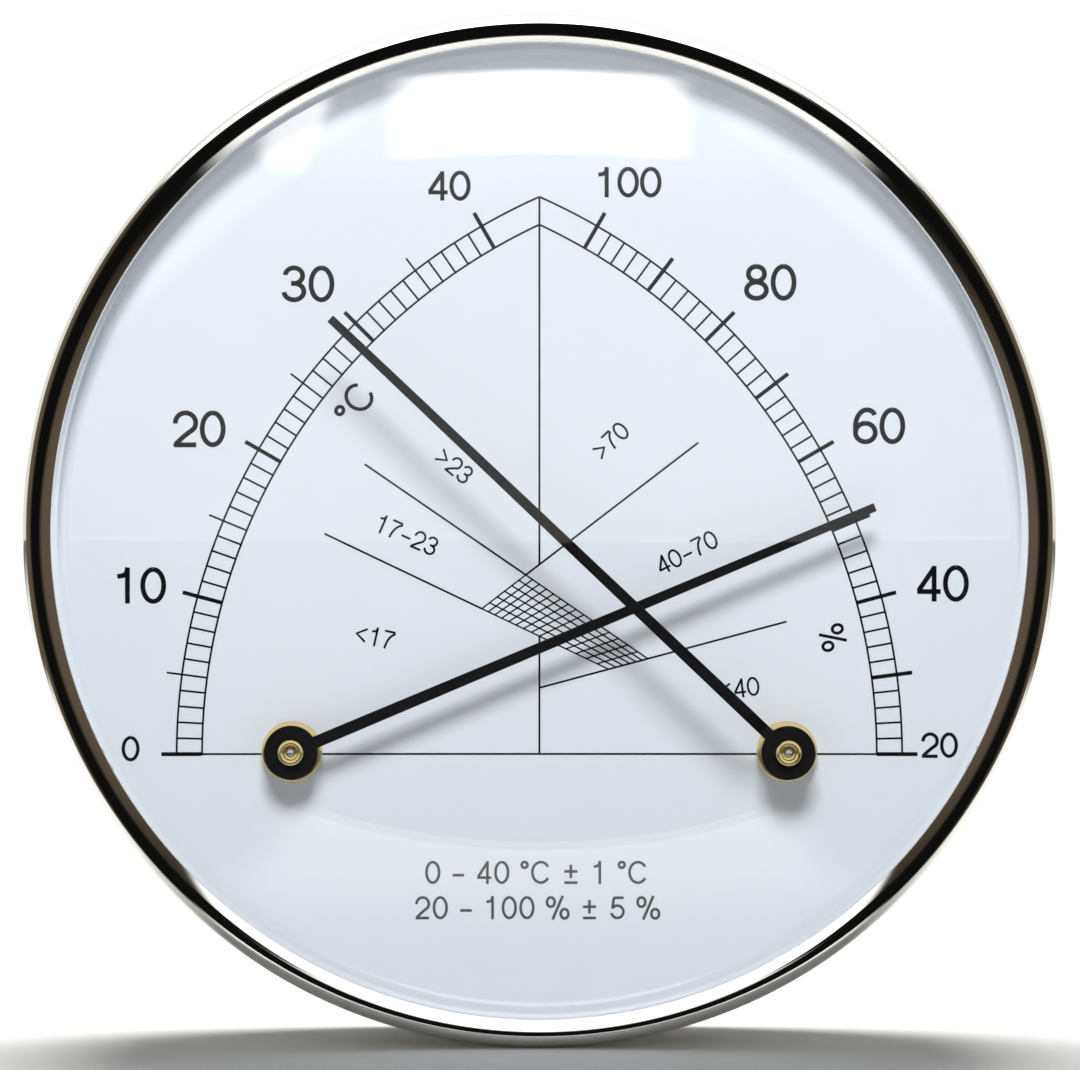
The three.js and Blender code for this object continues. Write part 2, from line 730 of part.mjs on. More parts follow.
function strandDrum() {
  const bore = ARBOR_RADIUS + GRIP_GAP;
  return turned([
    [bore, strandDrumBack],
    [GROOVE_FLANGE_RADIUS, strandDrumBack],
    [GROOVE_FLANGE_RADIUS, strandDrumBack + GROOVE_FLANGE],
    [GROOVE_RADIUS, strandDrumBack + GROOVE_FLANGE],
    [GROOVE_RADIUS, strandDrumFront - GROOVE_FLANGE],
    [GROOVE_FLANGE_RADIUS, strandDrumFront - GROOVE_FLANGE],
    [GROOVE_FLANGE_RADIUS, strandDrumFront],
    [bore, strandDrumFront],
  ]);
}

// Ring of the strand round a point, square to a direction in the dial's plane.
function strandRing(point, degrees) {
  const across = new THREE.Vector3(Math.cos(radians(degrees)), Math.sin(radians(degrees)), 0);
  return Array.from({ length: STRAND_SIDES }, (_, i) => {
    const angle = (i * 2 * Math.PI) / STRAND_SIDES;
    return new THREE.Vector3(point[0], point[1], strandLevel)
      .addScaledVector(across, STRAND_RADIUS * Math.cos(angle))
      .add(new THREE.Vector3(0, 0, STRAND_RADIUS * Math.sin(angle)));
  });
}

// Half a turn under the drum, then straight up its left side to the anchor's lever.
function humidityStrand() {
  const rings = [];
  for (let i = 0; i <= WRAP_STEPS; i += 1) {
    const angle = (-180 * i) / WRAP_STEPS;
    const point = [strandOffset * Math.cos(radians(angle)), strandOffset * Math.sin(radians(angle))];
    rings.push(strandRing(point, angle));
  }
  const top = leverPivotY - LEVER_ARM_HALF_WIDTH - SLIP_GAP;
  rings.push(strandRing([-strandOffset, top], -180));
  return skinned(rings);
}

// Strip or wire wound round the axis: its section is a rectangle with the given width along the axis
// and thickness across it.
function wound(radius, turns, pitch, width, thickness, back, stepsPerTurn) {
  const rings = [];
  const steps = turns * stepsPerTurn;
  for (let i = 0; i <= steps; i += 1) {
    const angle = (2 * Math.PI * i) / stepsPerTurn;
    const lift = back + width / 2 + (pitch * i) / stepsPerTurn;
    const corners = [[-1, -1], [-1, 1], [1, 1], [1, -1]];
    rings.push(corners.map(([outward, up]) => {
      const reach = radius + (outward * thickness) / 2;
      return new THREE.Vector3(reach * Math.cos(angle), reach * Math.sin(angle), lift + (up * width) / 2);
    }));
  }
  return skinned(rings);
}

function returnSpring() {
  const back = strandDrumFront + SEAT_GAP;
  const front = postBack - SEAT_GAP;
  const pitch = (front - back - SPRING_WIRE) / SPRING_TURNS;
  return wound(SPRING_RADIUS, SPRING_TURNS, pitch, SPRING_WIRE, SPRING_WIRE, back, SPRING_STEPS);
}

// Bell crank in the pivot pin's frame: one arm to the strand on the left, one forked tail upwards.
function anchorLever() {
  const armEnd = -(LEVER_PIVOT_X + strandOffset) - LEVER_ARM_HALF_WIDTH;
  const forkEnd = LEVER_TAIL + ECCENTRIC_OFFSET + ECCENTRIC_RADIUS;
  const forkFloor = forkEnd - FORK_DEPTH;
  const outline = new THREE.Shape([
    [armEnd, -LEVER_ARM_HALF_WIDTH],
    [LEVER_TAIL_HALF_WIDTH, -LEVER_ARM_HALF_WIDTH],
    [LEVER_TAIL_HALF_WIDTH, forkEnd],
    [FORK_WIDTH / 2, forkEnd],
    [FORK_WIDTH / 2, forkFloor],
    [-FORK_WIDTH / 2, forkFloor],
    [-FORK_WIDTH / 2, forkEnd],
    [-LEVER_TAIL_HALF_WIDTH, forkEnd],
    [-LEVER_TAIL_HALF_WIDTH, LEVER_ARM_HALF_WIDTH],
    [armEnd, LEVER_ARM_HALF_WIDTH],
  ].map(([x, y]) => new THREE.Vector2(x, y)));
  const hole = new THREE.Path();
  hole.absarc(0, 0, LEVER_PIN_RADIUS + LEVER_BORE_GAP, 0, 2 * Math.PI);
  outline.holes.push(hole);
  return plate(outline, leverBack, LEVER_SHEET);
}

function leverPin() {
  const footFront = BRACKET_BACK - SEAT_GAP;
  const shoulderFront = leverBack - SEAT_GAP;
  const headBack = leverFront + SEAT_GAP;
  return turned([
    [0, footFront - LEVER_PIN_HEAD],
    [LEVER_PIN_FOOT_RADIUS, footFront - LEVER_PIN_HEAD],
    [LEVER_PIN_FOOT_RADIUS, footFront],
    [LEVER_PIN_STEM, footFront],
    [LEVER_PIN_STEM, rearLeafFront + SEAT_GAP],
    [LEVER_PIN_SHOULDER, rearLeafFront + SEAT_GAP],
    [LEVER_PIN_SHOULDER, shoulderFront],
    [LEVER_PIN_RADIUS, shoulderFront],
    [LEVER_PIN_RADIUS, headBack],
    [LEVER_PIN_SHOULDER, headBack],
    [LEVER_PIN_SHOULDER, headBack + LEVER_PIN_HEAD],
    [0, headBack + LEVER_PIN_HEAD],
  ]);
}

function adjusterScrew() {
  const headFront = BRACKET_BACK - ADJUSTER_HEAD_GAP;
  const headBack = headFront - ADJUSTER_HEAD;
  const shankFront = rearLeafFront + ADJUSTER_HEAD_GAP;
  const body = turned([
    [0, headBack],
    [ADJUSTER_HEAD_RADIUS, headBack],
    [ADJUSTER_HEAD_RADIUS, headFront],
    [ADJUSTER_SHANK, headFront],
    [ADJUSTER_SHANK, shankFront],
    [0, shankFront],
  ]);
  const eccentric = moved(rod(ECCENTRIC_RADIUS, headFront, leverFront + ECCENTRIC_END), 0, ECCENTRIC_OFFSET);
  const slot = block(
    [3 * ADJUSTER_HEAD_RADIUS, ADJUSTER_SLOT_WIDTH, 2 * ADJUSTER_SLOT_DEPTH],
    [0, 0, headBack],
  );
  return carved(body, [eccentric], [slot]);
}

// Temperature movement

function bimetalCoil() {
  return wound(
    COIL_RADIUS,
    COIL_TURNS,
    coilPitch,
    COIL_STRIP_WIDTH,
    COIL_STRIP_THICKNESS,
    coilBack,
    COIL_STEPS,
  );
}

function coilStud() {
  return moved(rod(STUD_RADIUS, rearLeafFront + SEAT_GAP, coilBack - SEAT_GAP), COIL_RADIUS, 0);
}

function coilCollet() {
  const arm = block(
    [COLLET_ARM_REACH, COLLET_ARM_WIDTH, COLLET_HEIGHT],
    [COLLET_ARM_REACH / 2, 0, colletBack + COLLET_HEIGHT / 2],
  );
  const front = colletBack + COLLET_HEIGHT;
  const bore = rod(ARBOR_RADIUS + GRIP_GAP, colletBack - CUT_MARGIN, front + CUT_MARGIN);
  return carved(rod(COLLET_RADIUS, colletBack, front), [arm], [bore]);
}

function caseParts() {
  const screws = screwAngles().map((angle, i) => {
    const screw = piece(`cover_screw_${i + 1}`, coverScrew(), materials.zincSteel);
    screw.position.set(screwCircle * Math.cos(radians(angle)), screwCircle * Math.sin(radians(angle)), 0);
    screw.rotation.z = radians(angle);
    return screw;
  });
  return group(
    0,
    0,
    piece('bezel_ring', bezelRing(), materials.polishedSteel),
    piece('crystal', crystal(), materials.glass),
    piece('crystal_gasket', crystalGasket(), materials.rubber),
    piece('spacer_ring', spacerRing(), materials.whitePlastic),
    piece('dial_plate', dialPlate(), materials.dialWhite),
    piece('support_ring', supportRing(), materials.blackPlastic),
    piece('case_drum', caseDrum(), materials.brushedSteel),
    piece('back_cover', backCover(), materials.blackPlastic),
    ...screws,
  );
}

function humidityParts() {
  const arm = piece('humidity_pointer', humidityPointer(), materials.blackLacquer);
  arm.rotation.z = radians(HUMIDITY_ANGLE);
  const anchor = group(
    LEVER_PIVOT_X,
    leverPivotY,
    piece('anchor_lever', anchorLever(), materials.zincSteel),
    piece('lever_pin', leverPin(), materials.brass),
  );
  const adjuster = group(adjusterX, adjusterY, piece('adjuster_screw', adjusterScrew(), materials.brass));
  return group(
    -hubX,
    -hubDrop,
    arm,
    piece('humidity_bush', pointerBush(HUMIDITY_LIFT), materials.brass),
    piece('humidity_arbor', arbor(HUMIDITY_LIFT), materials.springSteel),
    piece('humidity_post', post(HUMIDITY_LIFT), materials.brass),
    piece('humidity_nut', nut(), materials.brass),
    piece('humidity_bearing', rearBearing(), materials.brass),
    piece('humidity_bracket', humidityBracket(), materials.zincSteel),
    piece('strand_drum', strandDrum(), materials.brass),
    piece('humidity_strand', humidityStrand(), materials.fibre),
    piece('return_spring', returnSpring(), materials.springSteel),
    anchor,
    adjuster,
  );
}

function temperatureParts() {
  const arm = piece('temperature_pointer', temperaturePointer(), materials.blackLacquer);
  arm.rotation.z = radians(180 - TEMPERATURE_ANGLE);
  return group(
    hubX,
    -hubDrop,
    arm,
    piece('temperature_bush', pointerBush(TEMPERATURE_LIFT), materials.brass),
    piece('temperature_arbor', arbor(TEMPERATURE_LIFT), materials.springSteel),
    piece('temperature_post', post(TEMPERATURE_LIFT), materials.brass),
    piece('temperature_nut', nut(), materials.brass),
    piece('temperature_bearing', rearBearing(), materials.brass),
    piece('temperature_bracket', temperatureBracket(), materials.zincSteel),
    piece('bimetal_coil', bimetalCoil(), materials.bimetal),
    piece('coil_stud', coilStud(), materials.brass),
    piece('coil_collet', coilCollet(), materials.brass),
  );
}

const instrument = new THREE.Group();
instrument.add(caseParts(), humidityParts(), temperatureParts());
instrument.rotation.x = Math.PI / 2;

export default instrument;
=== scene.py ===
"""Round wall thermo-hygrometer: fine surfaces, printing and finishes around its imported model.

Shapes are worked out in the dial's frame, in millimetres: x to the right, y up the dial and z out of
the wall towards the reader. MM and to_world turn them into the model's frame, in metres.
"""

import json
import math

import bpy
from mathutils import Matrix, Vector


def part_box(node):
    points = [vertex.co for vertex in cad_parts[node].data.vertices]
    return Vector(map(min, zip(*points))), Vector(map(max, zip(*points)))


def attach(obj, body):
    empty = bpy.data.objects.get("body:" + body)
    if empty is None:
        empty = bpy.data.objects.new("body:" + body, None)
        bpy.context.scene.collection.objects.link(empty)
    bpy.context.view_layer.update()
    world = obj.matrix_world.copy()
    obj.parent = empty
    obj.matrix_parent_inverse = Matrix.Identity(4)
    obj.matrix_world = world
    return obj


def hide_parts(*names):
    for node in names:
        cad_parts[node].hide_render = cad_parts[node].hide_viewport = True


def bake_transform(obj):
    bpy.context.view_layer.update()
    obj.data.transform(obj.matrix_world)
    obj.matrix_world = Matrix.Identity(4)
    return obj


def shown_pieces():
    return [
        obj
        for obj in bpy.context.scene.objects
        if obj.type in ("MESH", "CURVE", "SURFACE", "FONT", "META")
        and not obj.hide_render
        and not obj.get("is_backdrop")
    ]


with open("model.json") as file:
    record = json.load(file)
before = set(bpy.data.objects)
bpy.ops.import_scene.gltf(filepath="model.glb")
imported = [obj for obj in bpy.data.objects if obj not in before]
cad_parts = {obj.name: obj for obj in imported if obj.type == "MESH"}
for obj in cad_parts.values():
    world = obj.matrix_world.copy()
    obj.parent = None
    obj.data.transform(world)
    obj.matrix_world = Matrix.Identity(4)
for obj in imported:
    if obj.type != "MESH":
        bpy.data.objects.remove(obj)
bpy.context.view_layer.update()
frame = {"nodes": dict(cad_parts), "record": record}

MM = 0.001

# Camera: the photograph's frame is 1080 x 1070, square on to the dial
PHOTO_WIDTH = 1080
PHOTO_HEIGHT = 1070
CASE_CENTRE_X = 539.4
CASE_CENTRE_Y = 531.0
CASE_RADIUS_PIXELS = 516.5
CAMERA_DISTANCE = 500.0
SENSOR_WIDTH = 36.0
CLIP_RANGE = (0.01, 50.0)

# Case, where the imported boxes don't give the size
BEZEL_WIDTH = 2.85
BEZEL_CROWN = 1.6
BEZEL_BULGE = 0.3
BEZEL_UNDERCUT = 0.9
SKIRT_WALL = 0.6
CROWN_OUTSIDE = 1.2
CROWN_ROUND = 1.54
CROWN_TURN = 33.0
FLANK_TILT = 38.0
LIP_EDGE = 0.16
UNDERCUT_CURVE = ((0.4, 0.72), (0.9, 0.22))
SKIRT_INNER_EDGE = 0.1
SKIRT_OUTER_EDGE = 0.15
DRUM_WALL = 0.8
DRUM_CORNER = 2.0
DRUM_EDGE = 0.15
DRUM_RIM_EDGE = 0.1
FLANGE_WIDTH = 4.4
GLASS_THICKNESS = 2.0
GLASS_EDGE = 0.2
GLASS_BRIM = 0.6
GLASS_SEAT = 1.3
BRIM_FILLET = 0.5
SEAT_FILLET = 0.6
SPACER_WALL = 0.6
SPACER_EDGE = 0.1
GASKET_ROUNDING = 0.4

# Back cover
COVER_SHEET = 0.8
COVER_STANDOFF = 2.0
COVER_MIDDLE_RADIUS = 27.0
COVER_SLOPE_WIDTH = 2.0
COVER_FILLET = 0.7
COVER_INNER_FILLET = 0.42
COVER_INNER_OFFSET = 0.2
COVER_RIM_FILLETS = (0.2, 0.1)
COVER_EDGE = 0.12
CUT_MARGIN = 1.0
KEYHOLE_INSET = 13.2
KEYHOLE_RADIUS = 4.5
KEYHOLE_SLOT_WIDTH = 4.6
KEYHOLE_RISE = 6.0
VENT_INSET = 9.7
VENT_LENGTH = 10.0
VENT_WIDTH = 2.2
VENT_STEP = 11.0
VENTS_PER_GROUP = 5
VENT_GROUP_ANGLES = (210.0, 330.0)
ACCESS_RADIUS = 3.5
COVER_SCREW_HOLE = 1.2
SCREW_SHANK_RADIUS = 0.8
SCREW_HEAD_HEIGHT = 1.0
SCREW_HEAD_EDGE = 0.25
SCREW_SEAT_EDGE = 0.08
SCREW_POINT = 0.3
SCREW_BEVEL = 0.04
SCREW_SLOT_WIDTH = 0.6
SCREW_SLOT_DEPTH = 0.5
FIRST_SCREW_ANGLE = 30.0
SCREW_COUNT = 3

# Pointers and what they turn on
HUMIDITY_ANGLE = 22.8
TEMPERATURE_ANGLE = 180 - 43.47
HUMIDITY_REACH = 63.5
TEMPERATURE_REACH = 63.0
POINTER_SHEET = 0.4
POINTER_EDGE = 0.06
ARM_START = 3.0
CRANK_START = 3.5
CRANK_END = 5.6
CRANK_FILLET = 0.5
ARM_ROOT_WIDTH = 1.2
ARM_TIP_WIDTH = 0.85
DISC_RADIUS = 2.7
BUSH_SPIGOT = 0.9
BUSH_GRIP = 0.08
BUSH_EDGE = 0.24
BUSH_BORE = 0.43
RECESS_RADIUS = 0.7
RECESS_DEPTH = 0.5
RECESS_EDGE = 0.06
ARBOR_TIP_RADIUS = 0.35
ARBOR_TIP_DOME = 0.12
ARBOR_END_EDGE = 0.15
ARBOR_SHOULDER_EDGE = 0.08
POST_FOOT_HEIGHT = 1.3
POST_FOOT_EDGE = 0.2
POST_NECK_RADIUS = 1.6
POST_NECK_EDGE = 0.1
POST_THREAD_RADIUS = 2.0
POST_THREAD_EDGE = 0.15
POST_BORE = 0.7
SEAT_GAP = 0.1
TURNED_EDGE = 0.05
FINE_EDGE = 0.03

# Coil, spring and strand
COIL_RADIUS = 5.0
COIL_TURNS = 4
COIL_STRIP_WIDTH = 0.9
COIL_STRIP_THICKNESS = 0.35
COIL_STRIP_EDGE = 0.06
SPRING_RADIUS = 1.6
SPRING_WIRE = 0.3
SPRING_TURNS = 5
STRAND_OFFSET = 1.1
STRAND_RADIUS = 0.2
FIBRE_RADIUS = 0.062
FIBRE_TWISTS = 5
FIBRE_COUNT = 7

# Printing
INK_THICKNESS = 0.03
INK_SINK = 0.01
PRINT_SCALE = 0.1015
PRINT_DROP = 0.28
ARC_INNER = 58.9
ARC_OUTER = 61.45
TICK_END = 63.0
ZONE_LINE_END = 51.6
MITER_LIMIT = 1.5
FINE_LINE = 0.2
HATCH_LINE = 0.16
THICK_LINE = 0.4
NUMERAL_STROKE = 0.135
NUMERAL_STRETCH = 1.07
UNIT_HEIGHT = 3.0
UNIT_STROKE = 0.12
UNIT_STRETCH = 1.08
PERCENT_HEIGHT = 2.58
ZONE_HEIGHT = 1.95
CAPTION_HEIGHT = 2.35
CAPTION_SPACING = 1.08
SMALL_STROKE = 0.115
HUMIDITY_DEGREES = 0.75
HUMIDITY_START = 20
TEMPERATURE_DEGREES = 1.5
SCALE_STEPS = 40

# Smoothness
RING_STEPS = 256
HUB_STEPS = 96
DOME_STEPS = 48
FILLET_STEPS = 5
CROWN_STEPS = 40
CORNER_STEPS = 12
HOLE_STEPS = 48
SCREW_HOLE_STEPS = 32
SCREW_STEPS = 64
ARM_STRIPS = 8
DISC_STEPS = 88
WINDING_STEPS = 72
WIRE_SIDES = 12
WRAP_STEPS = 24
STRAND_STEPS = 60
FIBRE_SIDES = 6
ARC_STEPS = 90
TIP_STEPS = 8
KEYHOLE_END_STEPS = 18
STROKE_STEPS = 6
STROKE_DEGREES = 7
SMOOTH_ANGLE = 35.0
FINE_SMOOTH_ANGLE = 30.0
BEZEL_SMOOTH_ANGLE = 50.0
TUBE_SMOOTH_ANGLE = 60.0
BEVEL_ANGLE = 40.0

# Studio floor, in metres: its fade for the camera, and the bounds of the dark that gloss sees
PALE_FLOOR = (0.86, 0.86, 0.84)
FLOOR_REACH = 3.0
FLOOR_FADE = (0.1, 0.26)
FLOOR_LIFT = 0.03
WARM_WHITE = (1, 1, 0.95, 1)
FRONT_EDGE = -0.069
FRONT_CURVE = 5.6
FRONT_SIDE = (0.13, 0.2)
FRONT_HALF_WIDTH = (0.036, 0.05)
GLOSS_START = (0.035, 0.06)
GLOSS_LIFT = 0.7

# Lamps, in metres, and the flag, in millimetres
KEY_ELEVATION = 46.0
KEY_DISTANCE = 1.0
KEY_SIZE = (0.36, 0.28)
OUTSIDE_KEY_SIZE = (0.7, 0.6)
KEY_POWER = 10.0
OVERHEAD_DIRECTION = (180.0, 64.0)
OVERHEAD_DISTANCE = 0.7
OVERHEAD_SIZE = (0.4, 0.4)
OVERHEAD_POWER = 7.6
FLAG_HEIGHT = 2.7
FLAG_GAP = 0.04

# What gloss sees: colours, and the parts of a unit direction at which they change
FILL_LEVEL = 0.2
DARK = (0.005, 0.005, 0.005, 1)
SIDE = (0.12, 0.093, 0.066, 1)
BEHIND = (0.86, 0.86, 0.81, 1)
BRIGHT = (1.15, 1.15, 1.12, 1)
OVERHEAD = (1.5, 1.5, 1.5, 1)
SIDE_START = (0.5, 0.95)
BACK_START = (0.1, 0.3)
BRIGHT_START = (0.45, 0.57)
BRIGHT_HALF_WIDTH = (0.28, 0.36)
BRIGHT_ALL_ROUND = (0.66, 0.72)
OVERHEAD_START = (0.58, 0.62)

# Glowing cards: aim in the dial's frame, (azimuth, elevation) from there, size in metres, strength,
# slant, and the soft share of each side
CARD_DISTANCE = 0.8
SOFTBOX = ((0, 41, 28), (0, 36.7), (0.41, 0.125), 18.0, 0.0, (0.35, 0.25))
STEEL_SOFTBOX = ((0, 50, 27), (0, 36.7), (0.41, 0.125), 3.0, 0.0, (0.3, 0.3))
WINDOW = ((-23.3, 38.2, 28.5), (-24.8, 34.5), (0.085, 0.13), 12.0, -12.0, (0.6, 0.5))
LEFT_VEIL = ((-35, 15, 28), (-50, 30), (0.5, 0.8), 1.5, -35.0, (0.12, 0.2))
RIGHT_VEIL = ((35, 15, 28), (50, 30), (0.5, 0.8), 1.5, 35.0, (0.12, 0.2))


def to_world(point):
    """Point of the dial's frame, in millimetres, as a point of the model's frame, in metres."""
    x, y, z = point
    return Vector((x * MM, -z * MM, y * MM))


def extent(node):
    """Middle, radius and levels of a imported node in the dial's frame, in millimetres."""
    low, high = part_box(node)
    return {
        "x": (low.x + high.x) / 2 / MM,
        "y": (low.z + high.z) / 2 / MM,
        "radius": (high.x - low.x) / 2 / MM,
        "top": high.z / MM,
        "back": -high.y / MM,
        "front": -low.y / MM,
    }


case = extent("bezel_ring")
glass = extent("crystal")
spacer = extent("spacer_ring")
gasket = extent("crystal_gasket")
dial = extent("dial_plate")
drum = extent("case_drum")
cover = extent("back_cover")
humidity_hub = extent("humidity_post")
temperature_hub = extent("temperature_post")
hubs = {"humidity": humidity_hub, "temperature": temperature_hub}
adjuster = extent("adjuster_screw")
bezel_seat = case["front"] - BEZEL_CROWN
dome_rise = glass["front"] - glass["back"] - GLASS_THICKNESS


# Meshes


def arc(centre, radii, start, end, steps):
    """Points of an elliptic arc, both ends included, angles in degrees."""
    points = []
    for i in range(steps + 1):
        angle = math.radians(start + (end - start) * i / steps)
        points.append((centre[0] + radii[0] * math.cos(angle), centre[1] + radii[1] * math.sin(angle)))
    return points


def filleted(corners, closed=True, steps=FILLET_STEPS):
    """Outline through corners (a, b, fillet radius), each rounded by its fillet."""
    count = len(corners)
    points = []
    for i, (a, b, radius) in enumerate(corners):
        corner = Vector((a, b))
        at_end = not closed and i in (0, count - 1)
        if radius == 0 or at_end:
            points.append((a, b))
            continue
        before = (Vector(corners[i - 1][:2]) - corner).normalized()
        after = (Vector(corners[(i + 1) % count][:2]) - corner).normalized()
        half = before.angle(after) / 2
        centre = corner + (before + after).normalized() * radius / math.sin(half)
        start = corner + before * radius / math.tan(half) - centre
        end = corner + after * radius / math.tan(half) - centre
        sweep = math.atan2(start.cross(end), start.dot(end))
        for step in range(steps + 1):
            turn = Matrix.Rotation(sweep * step / steps, 2)
            points.append(tuple(centre + turn @ start))
    return points


def make_mesh(name, vertices, faces, smooth=SMOOTH_ANGLE, uvs=None):
    """Mesh of points in the dial's frame, shaded smooth below the given angle in degrees."""
    mesh = bpy.data.meshes.new(name)
    mesh.from_pydata([to_world(v) for v in vertices], [], faces)
    if uvs:
        layer = mesh.uv_layers.new(name="along")
        for loop, uv in zip(layer.data, uvs):
            loop.uv = uv
    mesh.validate()
    mesh.polygons.foreach_set("use_smooth", [True] * len(mesh.polygons))
    mesh.set_sharp_from_angle(angle=math.radians(smooth))
    return mesh


def turned(name, profile, centre=(0.0, 0.0), steps=HUB_STEPS, smooth=SMOOTH_ANGLE):
    """Solid of revolution round the z axis through centre.

    The profile holds (radius, height) pairs and either starts and ends on the axis or runs round a
    closed section. UVs run round the axis and along the profile, the latter in millimetres.
    """
    area = sum(a[0] * b[1] - b[0] * a[1] for a, b in zip(profile, profile[1:] + profile[:1]))
    if area < 0:
        profile = profile[::-1]
    on_axis = profile[0][0] == 0 and profile[-1][0] == 0
    vertices = []
    rows = []
    for radius, height in profile:
        if radius == 0:
            rows.append([len(vertices)] * steps)
            vertices.append((centre[0], centre[1], height))
            continue
        rows.append(list(range(len(vertices), len(vertices) + steps)))
        for j in range(steps):
            angle = 2 * math.pi * j / steps
            vertices.append(
                (centre[0] + radius * math.cos(angle), centre[1] + radius * math.sin(angle), height)
            )
    lengths = [0.0]
    for a, b in zip(profile, profile[1:] + profile[:1]):
        lengths.append(lengths[-1] + math.dist(a, b))
    faces = []
    uvs = []
    spans = len(profile) - 1 if on_axis else len(profile)
    for i in range(spans):
        low, high = rows[i], rows[(i + 1) % len(profile)]
        for j in range(steps):
            k = (j + 1) % steps
            face = [low[j], low[k], high[k], high[j]]
            uv = [
                (j / steps, lengths[i]),
                ((j + 1) / steps, lengths[i]),
                ((j + 1) / steps, lengths[i + 1]),
                (j / steps, lengths[i + 1]),
            ]
            kept = [n for n in range(4) if face[n] != face[n - 1]]
            faces.append([face[n] for n in kept])
            uvs.extend(uv[n] for n in kept)
    return make_mesh(name, vertices, faces, smooth, uvs)


def thick(points, faces, lift):
    """Closed solid between a one-sided sheet and its copy lifted along z."""
    count = len(points)
    vertices = list(points) + [(x, y, z + lift) for x, y, z in points]
    edges = {}
    for face in faces:
        for a, b in zip(face, face[1:] + face[:1]):
            edges[a, b] = (b, a) not in edges
            if (b, a) in edges:
                edges[b, a] = False
    walls = [[a, b, b + count, a + count] for (a, b), alone in edges.items() if alone]
    tops = [[i + count for i in face] for face in faces]
    bottoms = [face[::-1] for face in faces]
    return vertices, bottoms + tops + walls


def ribbon(centreline, width, level):
    """Sheet of constant width along a line of (x, y) points, with square ends."""
    points = []
    count = len(centreline)
    for i, here in enumerate(centreline):
        here = Vector(here)
        before = Vector(centreline[max(i - 1, 0)])
        after = Vector(centreline[min(i + 1, count - 1)])
        inward = (here - before).normalized() if i > 0 else (after - here).normalized()
        outward = (after - here).normalized() if i < count - 1 else inward
        along = (inward + outward).normalized()
        miter = 1 / max(along.dot(inward), 1 / MITER_LIMIT)
        side = Vector((-along.y, along.x)) * width / 2 * miter
        for point in (here - side, here + side):
            points.append((point.x, point.y, level))
    faces = [[2 * i, 2 * i + 2, 2 * i + 3, 2 * i + 1] for i in range(count - 1)]
    return points, faces


def tube(path, section):
    """Vertices and faces of a closed tube: section(i) gives the offsets round the path's point i."""
    vertices = []
    faces = []
    for i, point in enumerate(path):
        ring = section(i)
        sides = len(ring)
        vertices.extend(tuple(Vector(point) + offset) for offset in ring)
        if i == 0:
            continue
        for j in range(sides):
            a = (i - 1) * sides + j
            b = (i - 1) * sides + (j + 1) % sides
            faces.append([a, a + sides, b + sides, b])
    last = (len(path) - 1) * sides
    faces.append(list(range(sides)))
    faces.append(list(range(last, last + sides))[::-1])
    return vertices, faces


def placed(name, data):
    """New object with its data, in the scene."""
    made = bpy.data.objects.new(name, data)
    bpy.context.scene.collection.objects.link(made)
    return made


def cut(base, cutters, name):
    """Mesh of base less the cutters, which are closed meshes."""
    target = placed("cut_base", base)
    tools = [placed("cut_tool", mesh) for mesh in cutters]
    for tool in tools:
        step = target.modifiers.new("cut", "BOOLEAN")
        step.operation = "DIFFERENCE"
        step.solver = "EXACT"
        step.object = tool
    result = bpy.data.meshes.new_from_object(target.evaluated_get(bpy.context.evaluated_depsgraph_get()))
    result.name = name
    for thing in [target] + tools:
        bpy.data.objects.remove(thing)
    result.polygons.foreach_set("use_smooth", [True] * len(result.polygons))
    result.set_sharp_from_angle(angle=math.radians(SMOOTH_ANGLE))
    return result


def finished(mesh, material):
    mesh.materials.clear()
    mesh.materials.append(material)
    return placed(mesh.name, mesh)


def add_piece(mesh, slot, body, *nodes, material=None):
    """Puts a mesh on its body, with its finish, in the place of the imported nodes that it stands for."""
    piece = finished(mesh, material or finishes[slot])
    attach(piece, body)
    if nodes:
        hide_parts(*nodes)
    return piece


def add_blended(mesh, slot, node):
    """Puts a mesh with its finish in the place of an imported node, on no body, for a piece that bends
    between two bodies.
    """
    piece = finished(mesh, finishes[slot])
    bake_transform(piece)
    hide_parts(node)


def bevel(piece, width):
    step = piece.modifiers.new("edges", "BEVEL")
    step.width = width * MM
    step.segments = 2
    step.limit_method = "ANGLE"
    step.angle_limit = math.radians(BEVEL_ANGLE)
    step.harden_normals = True
    return piece


# Node trees


class Graph:
    """Short ways to add nodes to a tree. A value is a socket to link or a constant to set."""

    def __init__(self, tree, empty=True):
        self.tree = tree
        if empty:
            tree.nodes.clear()

    def put(self, socket, value):
        if hasattr(value, "node"):
            self.tree.links.new(value, socket)
        else:
            socket.default_value = value

    def add(self, kind, *values):
        made = self.tree.nodes.new(kind)
        for socket, value in zip(made.inputs, values):
            self.put(socket, value)
        return made

    def math(self, operation, *values):
        made = self.add("ShaderNodeMath", *values)
        made.operation = operation
        return made.outputs[0]

    def vector(self, operation, output, value):
        made = self.add("ShaderNodeVectorMath", value)
        made.operation = operation
        return made.outputs[output]

    def split(self, value):
        return self.add("ShaderNodeSeparateXYZ", value).outputs

    def coordinates(self, kind):
        return self.add("ShaderNodeTexCoord").outputs[kind]

    def step(self, value, limits):
        """Smooth rise from 0 to 1 between two limits."""
        made = self.add("ShaderNodeMapRange", value, *limits)
        made.interpolation_type = "SMOOTHSTEP"
        return made.outputs["Result"]

    def less(self, value):
        return self.math("SUBTRACT", 1.0, value)

    def colors(self, factor, first, second):
        made = self.tree.nodes.new("ShaderNodeMix")
        made.data_type = "RGBA"
        for number, value in ((0, factor), (6, first), (7, second)):
            self.put(made.inputs[number], value)
        return made.outputs[2]

    def shader(self, kind, *values):
        return self.add(kind, *values).outputs[0]

    def finish(self, shader, kind="ShaderNodeOutputMaterial"):
        self.put(self.add(kind).inputs["Surface"], shader)


# Finishes


